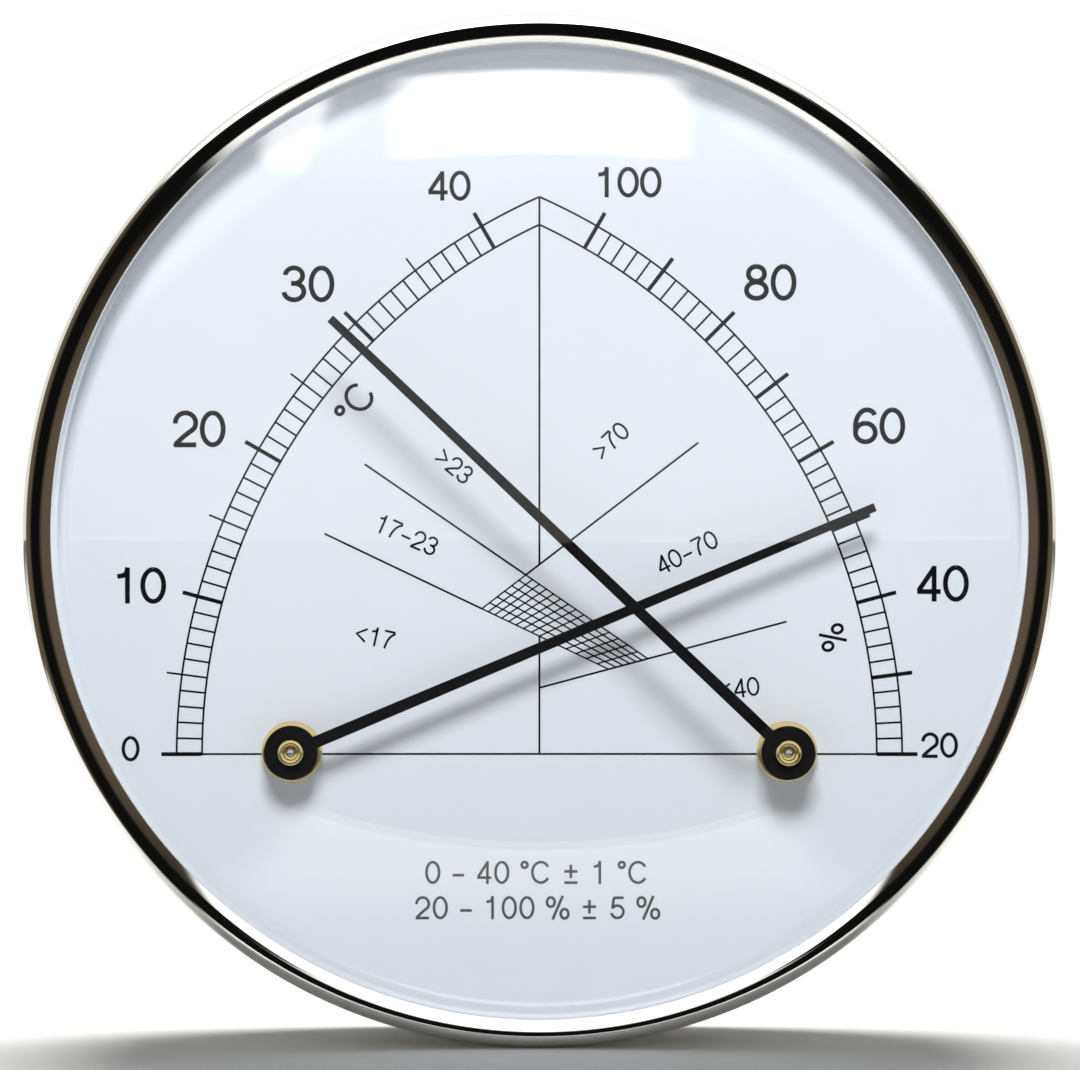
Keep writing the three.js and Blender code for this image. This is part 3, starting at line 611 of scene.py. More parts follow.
class Finish:
    """A node-based material under construction. Sockets that stay constant are set on the shader."""

    def __init__(self, name, color, metallic, roughness):
        self.material = bpy.data.materials.new(name)
        self.material.use_nodes = True
        self.graph = Graph(self.material.node_tree, empty=False)
        self.shader = self.graph.tree.nodes["Principled BSDF"]
        self.color = color
        self.set("Base Color", (*color, 1))
        self.set("Metallic", metallic)
        self.set("Roughness", roughness)

    def set(self, name, value):
        self.graph.put(self.shader.inputs[name], value)

    def noise(self, kind, scales, detail, roughness=0.5, scale=1.0):
        """Noise over coordinates of a kind, Object or UV, scaled along each axis."""
        mapping = self.graph.add("ShaderNodeMapping", self.graph.coordinates(kind))
        mapping.inputs["Scale"].default_value = scales
        made = self.graph.add("ShaderNodeTexNoise", mapping.outputs["Vector"])
        for name, value in (("Scale", scale), ("Detail", detail), ("Roughness", roughness)):
            made.inputs[name].default_value = value
        return made.outputs["Fac"]

    def clouds(self, scale, detail, roughness=0.5):
        """Noise of the same scale along each axis of the object."""
        return self.noise("Object", (scale, scale, scale), detail, roughness)

    def vary_color(self, factor, amount, tint=None):
        """Colour that drifts by amount, towards a tint if one is given."""
        dark = tuple(c * (1 - amount) for c in self.color)
        light = tint or tuple(min(c * (1 + amount), 1.0) for c in self.color)
        self.set("Base Color", self.graph.colors(factor, (*dark, 1), (*light, 1)))

    def vary_roughness(self, factor, low, high):
        """Roughness from low to high over the middle half of the factor's range."""
        made = self.graph.add("ShaderNodeMapRange", factor, 0.25, 0.75, low, high)
        self.set("Roughness", made.outputs["Result"])

    def bump(self, factor, strength, distance):
        made = self.graph.tree.nodes.new("ShaderNodeBump")
        for name, value in (("Strength", strength), ("Distance", distance * MM), ("Height", factor)):
            self.graph.put(made.inputs[name], value)
        self.set("Normal", made.outputs["Normal"])

    def mottle(self, factor, drift, low, high, tint=None):
        self.vary_color(factor, drift, tint)
        self.vary_roughness(factor, low, high)


def polished_steel():
    """Mirror polish with faint lines round the ring and a few soft smears."""
    finish = Finish("polished_steel", (0.83, 0.82, 0.79), 1.0, 0.05)
    finish.mottle(finish.clouds(60, 4), 0.02, 0.03, 0.085)
    finish.bump(finish.noise("UV", (6, 14, 1), 2, scale=4), 0.05, 0.004)
    return finish.material


def brushed_steel():
    """Fine brushing round the drum."""
    finish = Finish("brushed_steel", (0.62, 0.61, 0.59), 1.0, 0.3)
    lines = finish.noise("UV", (5, 22, 1), 5, 0.7, 3)
    finish.vary_roughness(lines, 0.2, 0.42)
    finish.vary_color(finish.clouds(40, 3), 0.05)
    finish.bump(lines, 0.25, 0.012)
    return finish.material


def clear_glass():
    """Clear domed glass that lets the lamps through."""
    finish = Finish("clear_glass", (1.0, 1.0, 1.0), 0.0, 0.0)
    finish.set("Transmission Weight", 1.0)
    finish.set("IOR", 1.5)
    finish.vary_roughness(finish.clouds(35, 5), 0.0, 0.006)
    graph = finish.graph
    shadow = graph.add("ShaderNodeLightPath").outputs["Is Shadow Ray"]
    through = graph.shader("ShaderNodeBsdfTransparent")
    choice = graph.shader("ShaderNodeMixShader", shadow, finish.shader.outputs[0], through)
    graph.put(graph.tree.nodes["Material Output"].inputs["Surface"], choice)
    return finish.material


def gasket_rubber():
    finish = Finish("gasket_rubber", (0.3, 0.31, 0.31), 0.0, 0.6)
    grain = finish.clouds(900, 2)
    finish.vary_color(grain, 0.08)
    finish.bump(grain, 0.2, 0.02)
    return finish.material


def white_plastic():
    """Satin moulded white, glossy enough for its edges to catch the lamp."""
    finish = Finish("white_plastic", (0.72, 0.76, 0.8), 0.0, 0.28)
    finish.mottle(finish.clouds(120, 3), 0.015, 0.24, 0.34)
    finish.bump(finish.clouds(2500, 2), 0.08, 0.01)
    return finish.material


def dial_white():
    """Cool white lacquer with a very fine orange peel."""
    finish = Finish("dial_white", (0.74, 0.785, 0.845), 0.0, 0.42)
    finish.mottle(finish.clouds(45, 4), 0.008, 0.38, 0.46)
    finish.bump(finish.clouds(1800, 2), 0.06, 0.01)
    return finish.material


def black_plastic():
    """Black moulding with a fine eroded texture."""
    finish = Finish("black_plastic", (0.02, 0.021, 0.023), 0.0, 0.55)
    finish.mottle(finish.clouds(50, 5), 0.1, 0.45, 0.65, tint=(0.034, 0.035, 0.038))
    finish.bump(finish.clouds(1400, 3, 0.6), 0.5, 0.05)
    return finish.material


def black_lacquer():
    """Matt black of the pointers."""
    finish = Finish("black_lacquer", (0.006, 0.006, 0.007), 0.0, 0.55)
    finish.set("Specular IOR Level", 0.12)
    finish.mottle(finish.clouds(150, 3), 0.2, 0.42, 0.6)
    finish.bump(finish.clouds(3000, 2), 0.15, 0.008)
    return finish.material


def ink(name, color):
    """Screen-printed ink, a little uneven in its density."""
    finish = Finish(name, color, 0.0, 0.45)
    finish.set("Specular IOR Level", 0.1)
    finish.mottle(finish.clouds(500, 4), 0.15, 0.4, 0.55)
    return finish.material


def brass():
    """Bright turned brass with tool lines round the axis."""
    finish = Finish("brass", (0.84, 0.64, 0.26), 1.0, 0.2)
    finish.mottle(finish.clouds(300, 4), 0.12, 0.14, 0.26, tint=(0.9, 0.73, 0.36))
    finish.bump(finish.noise("UV", (2, 30, 1), 3, scale=3), 0.12, 0.008)
    return finish.material


def plated(name, color, roughness, scale):
    """Plated or drawn metal: cloudy plating, rolled lines and slight colour drift."""
    finish = Finish(name, color, 1.0, roughness)
    finish.mottle(finish.clouds(scale, 5), 0.12, roughness * 0.75, roughness * 1.3)
    finish.bump(finish.noise("Object", (4000, 4000, 300), 2), 0.1, 0.01)
    return finish.material


def fibre():
    finish = Finish("fibre", (0.85, 0.82, 0.72), 0.0, 0.6)
    strands = finish.noise("Object", (9000, 9000, 500), 2)
    finish.vary_color(strands, 0.12)
    finish.bump(strands, 0.3, 0.01)
    finish.set("Sheen Weight", 0.3)
    return finish.material


finishes = {
    "polished_steel": polished_steel(),
    "brushed_steel": brushed_steel(),
    "clear_glass": clear_glass(),
    "gasket_rubber": gasket_rubber(),
    "white_plastic": white_plastic(),
    "dial_white": dial_white(),
    "black_plastic": black_plastic(),
    "black_lacquer": black_lacquer(),
    "brass": brass(),
    "zinc_steel": plated("zinc_steel", (0.52, 0.54, 0.56), 0.35, 220),
    "spring_steel": plated("spring_steel", (0.62, 0.6, 0.56), 0.25, 400),
    "bimetal": plated("bimetal", (0.5, 0.4, 0.27), 0.3, 300),
    "fibre": fibre(),
}
dial_ink = ink("dial_ink", (0.003, 0.004, 0.006))
caption_ink = ink("caption_ink", (0.03, 0.034, 0.038))


def dress_nodes():
    """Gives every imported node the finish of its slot."""
    for row in frame["record"]["subparts"]:
        node = frame["nodes"][row["node"]]
        material = finishes[row["material_slot"]]
        if not node.material_slots:
            node.data.materials.append(material)
        for place in node.material_slots:
            place.material = material


# Case


def bezel_ring():
    """Rolled ring: half-round outside, a straighter flank inside that ends in the lip over the glass."""
    outer = case["radius"]
    skirt_outer = outer - BEZEL_BULGE
    skirt_inner = skirt_outer - SKIRT_WALL
    lip = outer - BEZEL_WIDTH
    apex = outer - CROWN_OUTSIDE
    top = bezel_seat + BEZEL_CROWN
    turn = math.radians(CROWN_TURN)
    flank_start = (apex - CROWN_ROUND * math.sin(turn), top - CROWN_ROUND * (1 - math.cos(turn)))
    flank_drop = (flank_start[0] - lip) * math.tan(math.radians(FLANK_TILT))
    inside = filleted(
        [
            (*flank_start, 0),
            (lip, flank_start[1] - flank_drop, LIP_EDGE),
            (lip, bezel_seat, 0),
        ],
        closed=False,
    )
    profile = [
        *arc((apex, bezel_seat), (CROWN_OUTSIDE, BEZEL_CROWN), 0, 90, CROWN_STEPS),
        *arc((apex, top - CROWN_ROUND), (CROWN_ROUND, CROWN_ROUND), 90, 90 + CROWN_TURN, CROWN_STEPS)[1:],
        *inside[1:],
        (skirt_inner, bezel_seat),
        (skirt_inner, case["back"] + SKIRT_INNER_EDGE),
        (skirt_inner + SKIRT_INNER_EDGE, case["back"]),
        (skirt_outer - SKIRT_OUTER_EDGE, case["back"]),
        (skirt_outer, case["back"] + SKIRT_OUTER_EDGE),
        (skirt_outer, bezel_seat - BEZEL_UNDERCUT),
    ]
    for out, down in UNDERCUT_CURVE:
        profile.append((skirt_outer + BEZEL_BULGE * out, bezel_seat - BEZEL_UNDERCUT * down))
    mesh = turned("bezel_ring_fine", profile, steps=RING_STEPS, smooth=BEZEL_SMOOTH_ANGLE)
    add_piece(mesh, "polished_steel", "root", "bezel_ring")


def brimmed_dome(base, level, fillet):
    """Line of one side of the glass: spherical dome, fillet, then the flat border up to the rim."""
    sphere = (base ** 2 + dome_rise ** 2) / (2 * dome_rise)
    slope = math.asin(base / sphere)
    reach = fillet * math.tan(slope / 2)
    last = base - reach * math.cos(slope)
    line = []
    for i in range(DOME_STEPS + 1):
        radius = last * i / DOME_STEPS
        line.append((radius, level + dome_rise - sphere + math.sqrt(sphere ** 2 - radius ** 2)))
    centre = (base + reach, level + fillet)
    line.extend(arc(centre, (fillet, fillet), 270 - math.degrees(slope), 270, FILLET_STEPS * 2)[1:])
    return line


def crystal():
    back = glass["back"]
    front = back + GLASS_THICKNESS
    radius = glass["radius"]
    edge = [
        (radius - GLASS_EDGE, back),
        (radius, back + GLASS_EDGE),
        (radius, front - GLASS_EDGE),
        (radius - GLASS_EDGE, front),
    ]
    over = brimmed_dome(radius - GLASS_BRIM, front, BRIM_FILLET)
    profile = brimmed_dome(radius - GLASS_SEAT, back, SEAT_FILLET) + edge + over[::-1]
    mesh = turned("crystal_fine", profile, steps=RING_STEPS)
    piece = add_piece(mesh, "clear_glass", "root", "crystal")
    piece.visible_diffuse = False


def wall_ring(node, slot, size, fillet):
    """Upright ring with the spacer's wall thickness and rounded edges."""
    outer = size["radius"]
    inner = outer - SPACER_WALL
    section = filleted([
        (inner, size["back"], fillet),
        (outer, size["back"], fillet),
        (outer, size["front"], fillet),
        (inner, size["front"], fillet),
    ])
    add_piece(turned(node + "_fine", section, steps=RING_STEPS), slot, "root", node)


def crystal_gasket():
    height = gasket["front"] - gasket["back"]
    wall_ring("crystal_gasket", "gasket_rubber", gasket, height * GASKET_ROUNDING)


def spacer_ring():
    wall_ring("spacer_ring", "white_plastic", spacer, SPACER_EDGE)


def case_drum():
    outer = drum["radius"]
    inner = outer - DRUM_WALL
    flange_inner = outer - FLANGE_WIDTH
    corner = (outer - DRUM_CORNER, drum["back"] + DRUM_CORNER)
    turn = DRUM_CORNER - DRUM_WALL
    profile = [
        (flange_inner, drum["back"] + DRUM_EDGE),
        (flange_inner + DRUM_EDGE, drum["back"]),
        *arc(corner, (DRUM_CORNER, DRUM_CORNER), -90, 0, CORNER_STEPS),
        (outer, drum["front"] - DRUM_RIM_EDGE),
        (outer - DRUM_RIM_EDGE, drum["front"]),
        (inner, drum["front"]),
        *arc(corner, (turn, turn), 0, -90, CORNER_STEPS),
        (flange_inner, drum["back"] + DRUM_WALL),
    ]
    add_piece(turned("case_drum_fine", profile, steps=RING_STEPS), "brushed_steel", "root", "case_drum")


def prism(name, outline, low, high):
    """Closed upright solid over a plane outline, for cutting."""
    count = len(outline)
    vertices = [(x, y, low) for x, y in outline] + [(x, y, high) for x, y in outline]
    faces = [list(range(count))[::-1], list(range(count, 2 * count))]
    faces += [[i, (i + 1) % count, (i + 1) % count + count, i + count] for i in range(count)]
    return make_mesh(name, vertices, faces)


def moved(outline, x, y, degrees=0.0):
    """Outline moved by x and y, then turned round the middle of the case."""
    turn = Matrix.Rotation(math.radians(degrees), 2)
    return [tuple(turn @ (Vector(point) + Vector((x, y)))) for point in outline]


def circle(radius, steps=HOLE_STEPS):
    return arc((0, 0), (radius, radius), 0, 360 - 360 / steps, steps - 1)


def round_slot(length, width):
    reach = (length - width) / 2
    end = width / 2
    right = arc((reach, 0), (end, end), -90, 90, CORNER_STEPS)
    return right + arc((-reach, 0), (end, end), 90, 270, CORNER_STEPS)


def keyhole_outline():
    half = KEYHOLE_SLOT_WIDTH / 2
    meet = math.degrees(math.acos(half / KEYHOLE_RADIUS))
    entry = arc((0, 0), (KEYHOLE_RADIUS, KEYHOLE_RADIUS), 180 - meet, 360 + meet, HOLE_STEPS)
    return entry + arc((0, KEYHOLE_RISE), (half, half), 0, 180, KEYHOLE_END_STEPS)


def screw_places():
    """Distance from the middle and angle of each cover screw."""
    first = extent("cover_screw_1")
    radius = math.hypot(first["x"], first["y"])
    angles = [FIRST_SCREW_ANGLE + i * 360 / SCREW_COUNT for i in range(SCREW_COUNT)]
    return [(radius, angle) for angle in angles]


def back_cover():
    """Dished cover with its keyhole, air slots and screw holes, on edges a little rounded."""
    radius = cover["radius"]
    middle = COVER_MIDDLE_RADIUS
    slope_end = middle + COVER_SLOPE_WIDTH
    outline = filleted([
        (0, 0, 0),
        (middle, 0, COVER_FILLET),
        (slope_end, COVER_STANDOFF, COVER_FILLET),
        (radius, COVER_STANDOFF, COVER_RIM_FILLETS[0]),
        (radius, COVER_STANDOFF + COVER_SHEET, COVER_RIM_FILLETS[1]),
        (slope_end - COVER_INNER_OFFSET, COVER_STANDOFF + COVER_SHEET, COVER_INNER_FILLET),
        (middle - COVER_INNER_OFFSET, COVER_SHEET, COVER_INNER_FILLET),
        (0, COVER_SHEET, 0),
    ])
    sheet = turned("cover_sheet", outline, steps=RING_STEPS)
    low = -CUT_MARGIN
    high = COVER_STANDOFF + COVER_SHEET + CUT_MARGIN
    tools = [
        prism("keyhole", moved(keyhole_outline(), 0, radius - KEYHOLE_INSET), low, high),
        prism("access", moved(circle(ACCESS_RADIUS), adjuster["x"], adjuster["y"]), low, high),
    ]
    for group_angle in VENT_GROUP_ANGLES:
        for i in range(VENTS_PER_GROUP):
            angle = group_angle + (i - (VENTS_PER_GROUP - 1) / 2) * VENT_STEP
            vent = moved(round_slot(VENT_LENGTH, VENT_WIDTH), radius - VENT_INSET, 0, angle)
            tools.append(prism("vent", vent, low, high))
    for reach, angle in screw_places():
        hole = moved(circle(COVER_SCREW_HOLE, SCREW_HOLE_STEPS), reach, 0, angle)
        tools.append(prism("screw_hole", hole, low, high))
    mesh = cut(sheet, tools, "back_cover_fine")
    bevel(add_piece(mesh, "black_plastic", "root", "back_cover"), COVER_EDGE)


def cover_screws():
    """Cheese-head screws with a rounded, slotted head."""
    for i, (reach, angle) in enumerate(screw_places()):
        node = f"cover_screw_{i + 1}"
        size = extent(node)
        head_back = size["back"]
        head_front = head_back + SCREW_HEAD_HEIGHT
        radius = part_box(node)[1].z / MM - size["y"]
        profile = filleted([
            (0, head_back, 0),
            (radius, head_back, SCREW_HEAD_EDGE),
            (radius, head_front, SCREW_SEAT_EDGE),
            (SCREW_SHANK_RADIUS, head_front, 0),
            (SCREW_SHANK_RADIUS, size["front"] - SCREW_POINT, 0),
            (SCREW_POINT, size["front"], 0),
            (0, size["front"], 0),
        ])
        body = turned("screw_body", profile, steps=SCREW_STEPS)
        half = SCREW_SLOT_WIDTH / 2
        end = radius + CUT_MARGIN
        bar = [(-end, -half), (end, -half), (end, half), (-end, half)]
        slot_cut = prism("screw_slot", bar, head_back - CUT_MARGIN, head_back + SCREW_SLOT_DEPTH)
        mesh = cut(body, [slot_cut], node + "_fine")
        turn = Matrix.Rotation(math.radians(-angle), 4, "Y")
        place = to_world((*moved([(reach, 0)], 0, 0, angle)[0], 0))
        mesh.transform(Matrix.Translation(place) @ turn)
        bevel(add_piece(mesh, "zinc_steel", "root", node), SCREW_BEVEL)


# Movements


def add_turned(kind, part, body, slot, profile, steps=HUB_STEPS):
    """Turned piece of one of the two movements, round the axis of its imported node."""
    node = f"{kind}_{part}"
    size = extent(node)
    mesh = turned(node + "_fine", profile, (size["x"], size["y"]), steps, FINE_SMOOTH_ANGLE)
    add_piece(mesh, slot, body, node)


def post(kind):
    size = extent(f"{kind}_post")
    foot_back = dial["front"] + SEAT_GAP
    foot_front = foot_back + POST_FOOT_HEIGHT
    profile = filleted([
        (POST_BORE, size["back"], TURNED_EDGE),
        (POST_THREAD_RADIUS, size["back"], POST_THREAD_EDGE),
        (POST_THREAD_RADIUS, foot_back, 0),
        (size["radius"], foot_back, TURNED_EDGE),
        (size["radius"], foot_front, POST_FOOT_EDGE),
        (POST_NECK_RADIUS, foot_front, POST_NECK_EDGE),
        (POST_NECK_RADIUS, size["front"], POST_NECK_EDGE),
        (POST_BORE, size["front"], TURNED_EDGE),
    ])
    add_turned(kind, "post", "root", "brass", profile)


def bush(kind):
    """Flanged bush in the pointer's disc, with a recess round the arbor."""
    size = extent(f"{kind}_bush")
    flange = size["back"] + POINTER_SHEET + SEAT_GAP / 2
    recess = size["front"] - RECESS_DEPTH
    profile = filleted([
        (BUSH_BORE, size["back"], 0),
        (BUSH_SPIGOT, size["back"], FINE_EDGE),
        (BUSH_SPIGOT, flange, 0),
        (size["radius"], flange, TURNED_EDGE),
        (size["radius"], size["front"], BUSH_EDGE),
        (RECESS_RADIUS, size["front"], BUSH_EDGE),
        (RECESS_RADIUS, recess, RECESS_EDGE),
        (BUSH_BORE, recess, FINE_EDGE),
    ])
    add_turned(kind, "bush", f"{kind}_hand", "brass", profile)


def arbor(kind):
    """Pin with a shoulder under the bush and a domed tip."""
    size = extent(f"{kind}_arbor")
    shoulder = extent(f"{kind}_bush")["back"] - SEAT_GAP
    tip = size["front"]
    profile = [
        (0, size["back"]),
        (size["radius"] - ARBOR_END_EDGE, size["back"]),
        (size["radius"], size["back"] + ARBOR_END_EDGE),
        (size["radius"], shoulder - ARBOR_SHOULDER_EDGE),
        (size["radius"] - ARBOR_SHOULDER_EDGE, shoulder),
        (ARBOR_TIP_RADIUS, shoulder),
        *arc((0, tip - ARBOR_TIP_DOME), (ARBOR_TIP_RADIUS, ARBOR_TIP_DOME), 0, 90, TIP_STEPS),
    ]
    profile[-1] = (0, tip)
    add_turned(kind, "arbor", f"{kind}_hand", "spring_steel", profile, SCREW_STEPS)


def pointer_sheet(stations):
    """Underside of a pointer along +x: a disc with its bore, and an arm of (distance, rise, width)."""
    across = ARM_STRIPS
    spread = math.degrees(math.asin(ARM_ROOT_WIDTH / 2 / DISC_RADIUS))
    angles = [-spread + 2 * spread * i / across for i in range(across + 1)]
    angles += [spread + (360 - 2 * spread) * i / DISC_STEPS for i in range(1, DISC_STEPS)]
    count = len(angles)
    points = []
    for radius in (BUSH_SPIGOT + BUSH_GRIP, DISC_RADIUS):
        for angle in angles:
            turn = math.radians(angle)
            points.append((radius * math.cos(turn), radius * math.sin(turn), 0.0))
    faces = [[j, j + count, (j + 1) % count + count, (j + 1) % count] for j in range(count)]
    row = list(range(count, count + across + 1))
    for distance, rise, width in stations:
        start = len(points)
        for i in range(across + 1):
            points.append((distance, width * (i / across - 0.5), rise))
        new = list(range(start, start + across + 1))
        faces += [[row[i], new[i], new[i + 1], row[i + 1]] for i in range(across)]
        row = new
    return points, faces


def pointer(kind, reach, angle):
    """Sheet pointer with a bored disc, its arm raised by a crank where it has to pass over the other."""
    node = f"{kind}_pointer"
    hub = hubs[kind]
    size = extent(node)
    level = size["back"]
    rise = size["front"] - level - POINTER_SHEET
    fillet = CRANK_FILLET if rise > CRANK_FILLET else 0
    corners = [(ARM_START, 0, 0), (CRANK_START, 0, fillet), (CRANK_END, rise, fillet), (reach, rise, 0)]
    stations = []
    for distance, height in filleted(corners, closed=False):
        share = max(0.0, (distance - CRANK_END) / (reach - CRANK_END))
        stations.append((distance, height, ARM_ROOT_WIDTH + (ARM_TIP_WIDTH - ARM_ROOT_WIDTH) * share))
    points, faces = pointer_sheet(stations)
    turn = Matrix.Rotation(math.radians(angle), 2)
    underside = []
    for x, y, z in points:
        spot = turn @ Vector((x, y))
        underside.append((hub["x"] + spot.x, hub["y"] + spot.y, level + z))
    vertices, solid = thick(underside, faces, POINTER_SHEET)
    mesh = make_mesh(node + "_fine", vertices, solid, FINE_SMOOTH_ANGLE)
    bevel(add_piece(mesh, "black_lacquer", f"{kind}_hand", node), POINTER_EDGE)


def wound(node, hub, radius, turns, width, outline, slot):
    """Helix of a section, given as (along the radius, along the axis), its ends at the hub's right.
    """
    size = extent(node)
    steps = WINDING_STEPS * turns
    pitch = (size["front"] - size["back"] - width) / turns
    path = []
    radials = []
    for i in range(steps + 1):
        angle = 2 * math.pi * turns * i / steps
        radial = Vector((math.cos(angle), math.sin(angle)))
        radials.append(radial)
        lift = size["back"] + width / 2 + pitch * turns * i / steps
        path.append((hub["x"] + radius * radial.x, hub["y"] + radius * radial.y, lift))
    vertices, faces = tube(path, lambda i: [Vector((*(radials[i] * a), b)) for a, b in outline])
    mesh = make_mesh(node + "_fine", vertices, faces, TUBE_SMOOTH_ANGLE)
    add_blended(mesh, slot, node)


def bimetal_coil():
    across = COIL_STRIP_THICKNESS / 2
    along = COIL_STRIP_WIDTH / 2
    edge = COIL_STRIP_EDGE
    corners = [(-across, -along, edge), (across, -along, edge), (across, along, edge), (-across, along, edge)]
    wound(
        "bimetal_coil", temperature_hub, COIL_RADIUS, COIL_TURNS, COIL_STRIP_WIDTH,
        filleted(corners, steps=3), "bimetal",
    )


def return_spring():
    wound(
        "return_spring", humidity_hub, SPRING_RADIUS, SPRING_TURNS, SPRING_WIRE,
        circle(SPRING_WIRE / 2, WIRE_SIDES), "spring_steel",
    )


def strand_line():
    """Centreline of the strand: half a turn under its drum, then straight up to the lever."""
    hub = humidity_hub
    size = extent("humidity_strand")
    level = (size["back"] + size["front"]) / 2
    path = []
    for x, y in arc((hub["x"], hub["y"]), (STRAND_OFFSET, STRAND_OFFSET), 0, -180, WRAP_STEPS):
        path.append(Vector((x, y, level)))
    rise = size["top"] - hub["y"]
    for i in range(1, STRAND_STEPS + 1):
        path.append(Vector((hub["x"] - STRAND_OFFSET, hub["y"] + rise * i / STRAND_STEPS, level)))
    return path


def humidity_strand():
    """Bundle of fibres laid round a middle one."""
    path = strand_line()
    count = len(path)
    up = Vector((0, 0, 1))
    sides = []
    for i in range(count):
        along = (path[min(i + 1, count - 1)] - path[max(i - 1, 0)]).normalized()
        sides.append(along.cross(up))

    def around(i, angle, radius):
        return (sides[i] * math.cos(angle) - up * math.sin(angle)) * radius

    vertices = []
    faces = []
    for fibre in range(FIBRE_COUNT):
        lay = STRAND_RADIUS - FIBRE_RADIUS if fibre < FIBRE_COUNT - 1 else 0.0
        middles = []
        for i, point in enumerate(path):
            turn = -2 * math.pi * (fibre / (FIBRE_COUNT - 1) + FIBRE_TWISTS * i / count)
            middles.append(point + around(i, turn, lay))
        angles = [2 * math.pi * j / FIBRE_SIDES for j in range(FIBRE_SIDES)]
        points, walls = tube(middles, lambda i: [-around(i, -angle, FIBRE_RADIUS) for angle in angles])
        first = len(vertices)
        vertices.extend(points)
        faces.extend([corner + first for corner in wall] for wall in walls)
    mesh = make_mesh("humidity_strand_fine", vertices, faces, TUBE_SMOOTH_ANGLE)
    add_blended(mesh, "fibre", "humidity_strand")


def edge_inner_nodes():
    """Small rounded edges, in millimetres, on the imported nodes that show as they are."""
    widths = {
        "humidity_nut": 0.15,
        "temperature_nut": 0.15,
        "humidity_bearing": 0.08,
        "temperature_bearing": 0.08,
        "humidity_bracket": 0.15,
        "temperature_bracket": 0.15,
        "strand_drum": 0.05,
        "anchor_lever": 0.12,
        "lever_pin": 0.08,
        "adjuster_screw": 0.1,
        "coil_stud": 0.08,
        "coil_collet": 0.08,
        "support_ring": 0.15,
    }
    for node, width in widths.items():
        bevel(frame["nodes"][node], width)


# Printing on the dial


class Print:
    """Ink on the dial, gathered as closed flat solids."""

    def __init__(self):
        self.vertices = []
        self.faces = []

    def line(self, centreline, width):
        sheet, faces = ribbon(centreline, width, dial["front"] - INK_SINK)
        vertices, solid = thick(sheet, faces, INK_THICKNESS)
        first = len(self.vertices)
        self.vertices.extend(vertices)
        self.faces.extend([i + first for i in face] for face in solid)

    def add(self, name, material):
        mesh = make_mesh(name, self.vertices, self.faces, FINE_SMOOTH_ANGLE)
        add_piece(mesh, "black_lacquer", "root", material=material)


def polar(hub, radius, degrees):
    """Point at a radius from a hub, above the baseline, towards the other side of the dial."""
    side = 1 if hub["x"] < 0 else -1
    angle = math.radians(degrees)
    return (hub["x"] + side * radius * math.cos(angle), hub["y"] + radius * math.sin(angle))


def printed(hub):
    """Middle of a printed scale: its pivot, a little lower as the photograph shows it on the dial."""
    return {"x": hub["x"], "y": hub["y"] - PRINT_DROP}


humidity_scale = printed(humidity_hub)
temperature_scale = printed(temperature_hub)


def scale_marks(page, hub, step_degrees, long_every, thick_every):
    """Arcs up to the middle line, ticks between them and longer ticks past the outer one."""
    for radius in (ARC_INNER, ARC_OUTER):
        meet = math.degrees(math.acos(abs(hub["x"]) / radius))
        page.line([polar(hub, radius, meet * i / ARC_STEPS) for i in range(ARC_STEPS + 1)], FINE_LINE)
    for i in range(SCALE_STEPS + 1):
        angle = i * step_degrees
        outer = TICK_END if i % long_every == 0 else ARC_OUTER
        width = THICK_LINE if i % thick_every == 0 else FINE_LINE
        page.line([polar(hub, ARC_INNER, angle), polar(hub, outer, angle)], width)


def crossing(humidity, temperature):
    """Point of the dial where a humidity and a temperature line meet."""
    rise = math.tan(math.radians((humidity - HUMIDITY_START) * HUMIDITY_DEGREES))
    fall = math.tan(math.radians(temperature * TEMPERATURE_DEGREES))
    base = temperature_scale["x"] - humidity_scale["x"]
    along = base * fall / (rise + fall)
    return (humidity_scale["x"] + along, humidity_scale["y"] + along * rise)


def on_middle_line(degrees):
    return (0.0, humidity_scale["y"] + abs(humidity_scale["x"]) * math.tan(math.radians(degrees)))


def zone_lines(page):
    """Hatched comfort zone of 17 to 23 degrees and 40 to 70 percent, with the lines that lead to it."""
    cool, warm, dry, damp = 17, 23, 40, 70
    for temperature in range(cool, warm + 1):
        page.line([crossing(dry, temperature), crossing(damp, temperature)], HATCH_LINE)
    for humidity in range(dry, damp + 1, 2):
        page.line([crossing(humidity, cool), crossing(humidity, warm)], HATCH_LINE)
    for temperature in (cool, warm):
        far = polar(temperature_scale, ZONE_LINE_END, temperature * TEMPERATURE_DEGREES)
        page.line([far, crossing(damp, temperature)], FINE_LINE)
    dry_angle = (dry - HUMIDITY_START) * HUMIDITY_DEGREES
    damp_angle = (damp - HUMIDITY_START) * HUMIDITY_DEGREES
    page.line([polar(humidity_scale, ZONE_LINE_END, dry_angle), on_middle_line(dry_angle)], FINE_LINE)
    page.line([polar(humidity_scale, ZONE_LINE_END, damp_angle), crossing(damp, warm)], FINE_LINE)
    apex = (0.0, humidity_scale["y"] + math.sqrt(ARC_OUTER ** 2 - humidity_scale["x"] ** 2))
    page.line([apex, on_middle_line(damp_angle)], FINE_LINE)
    low_end = on_middle_line(cool * TEMPERATURE_DEGREES)
    page.line([low_end, (0.0, humidity_scale["y"])], FINE_LINE)
    base = [polar(temperature_scale, ARC_OUTER, 0), polar(humidity_scale, ARC_OUTER, 0)]
    page.line(base, FINE_LINE)


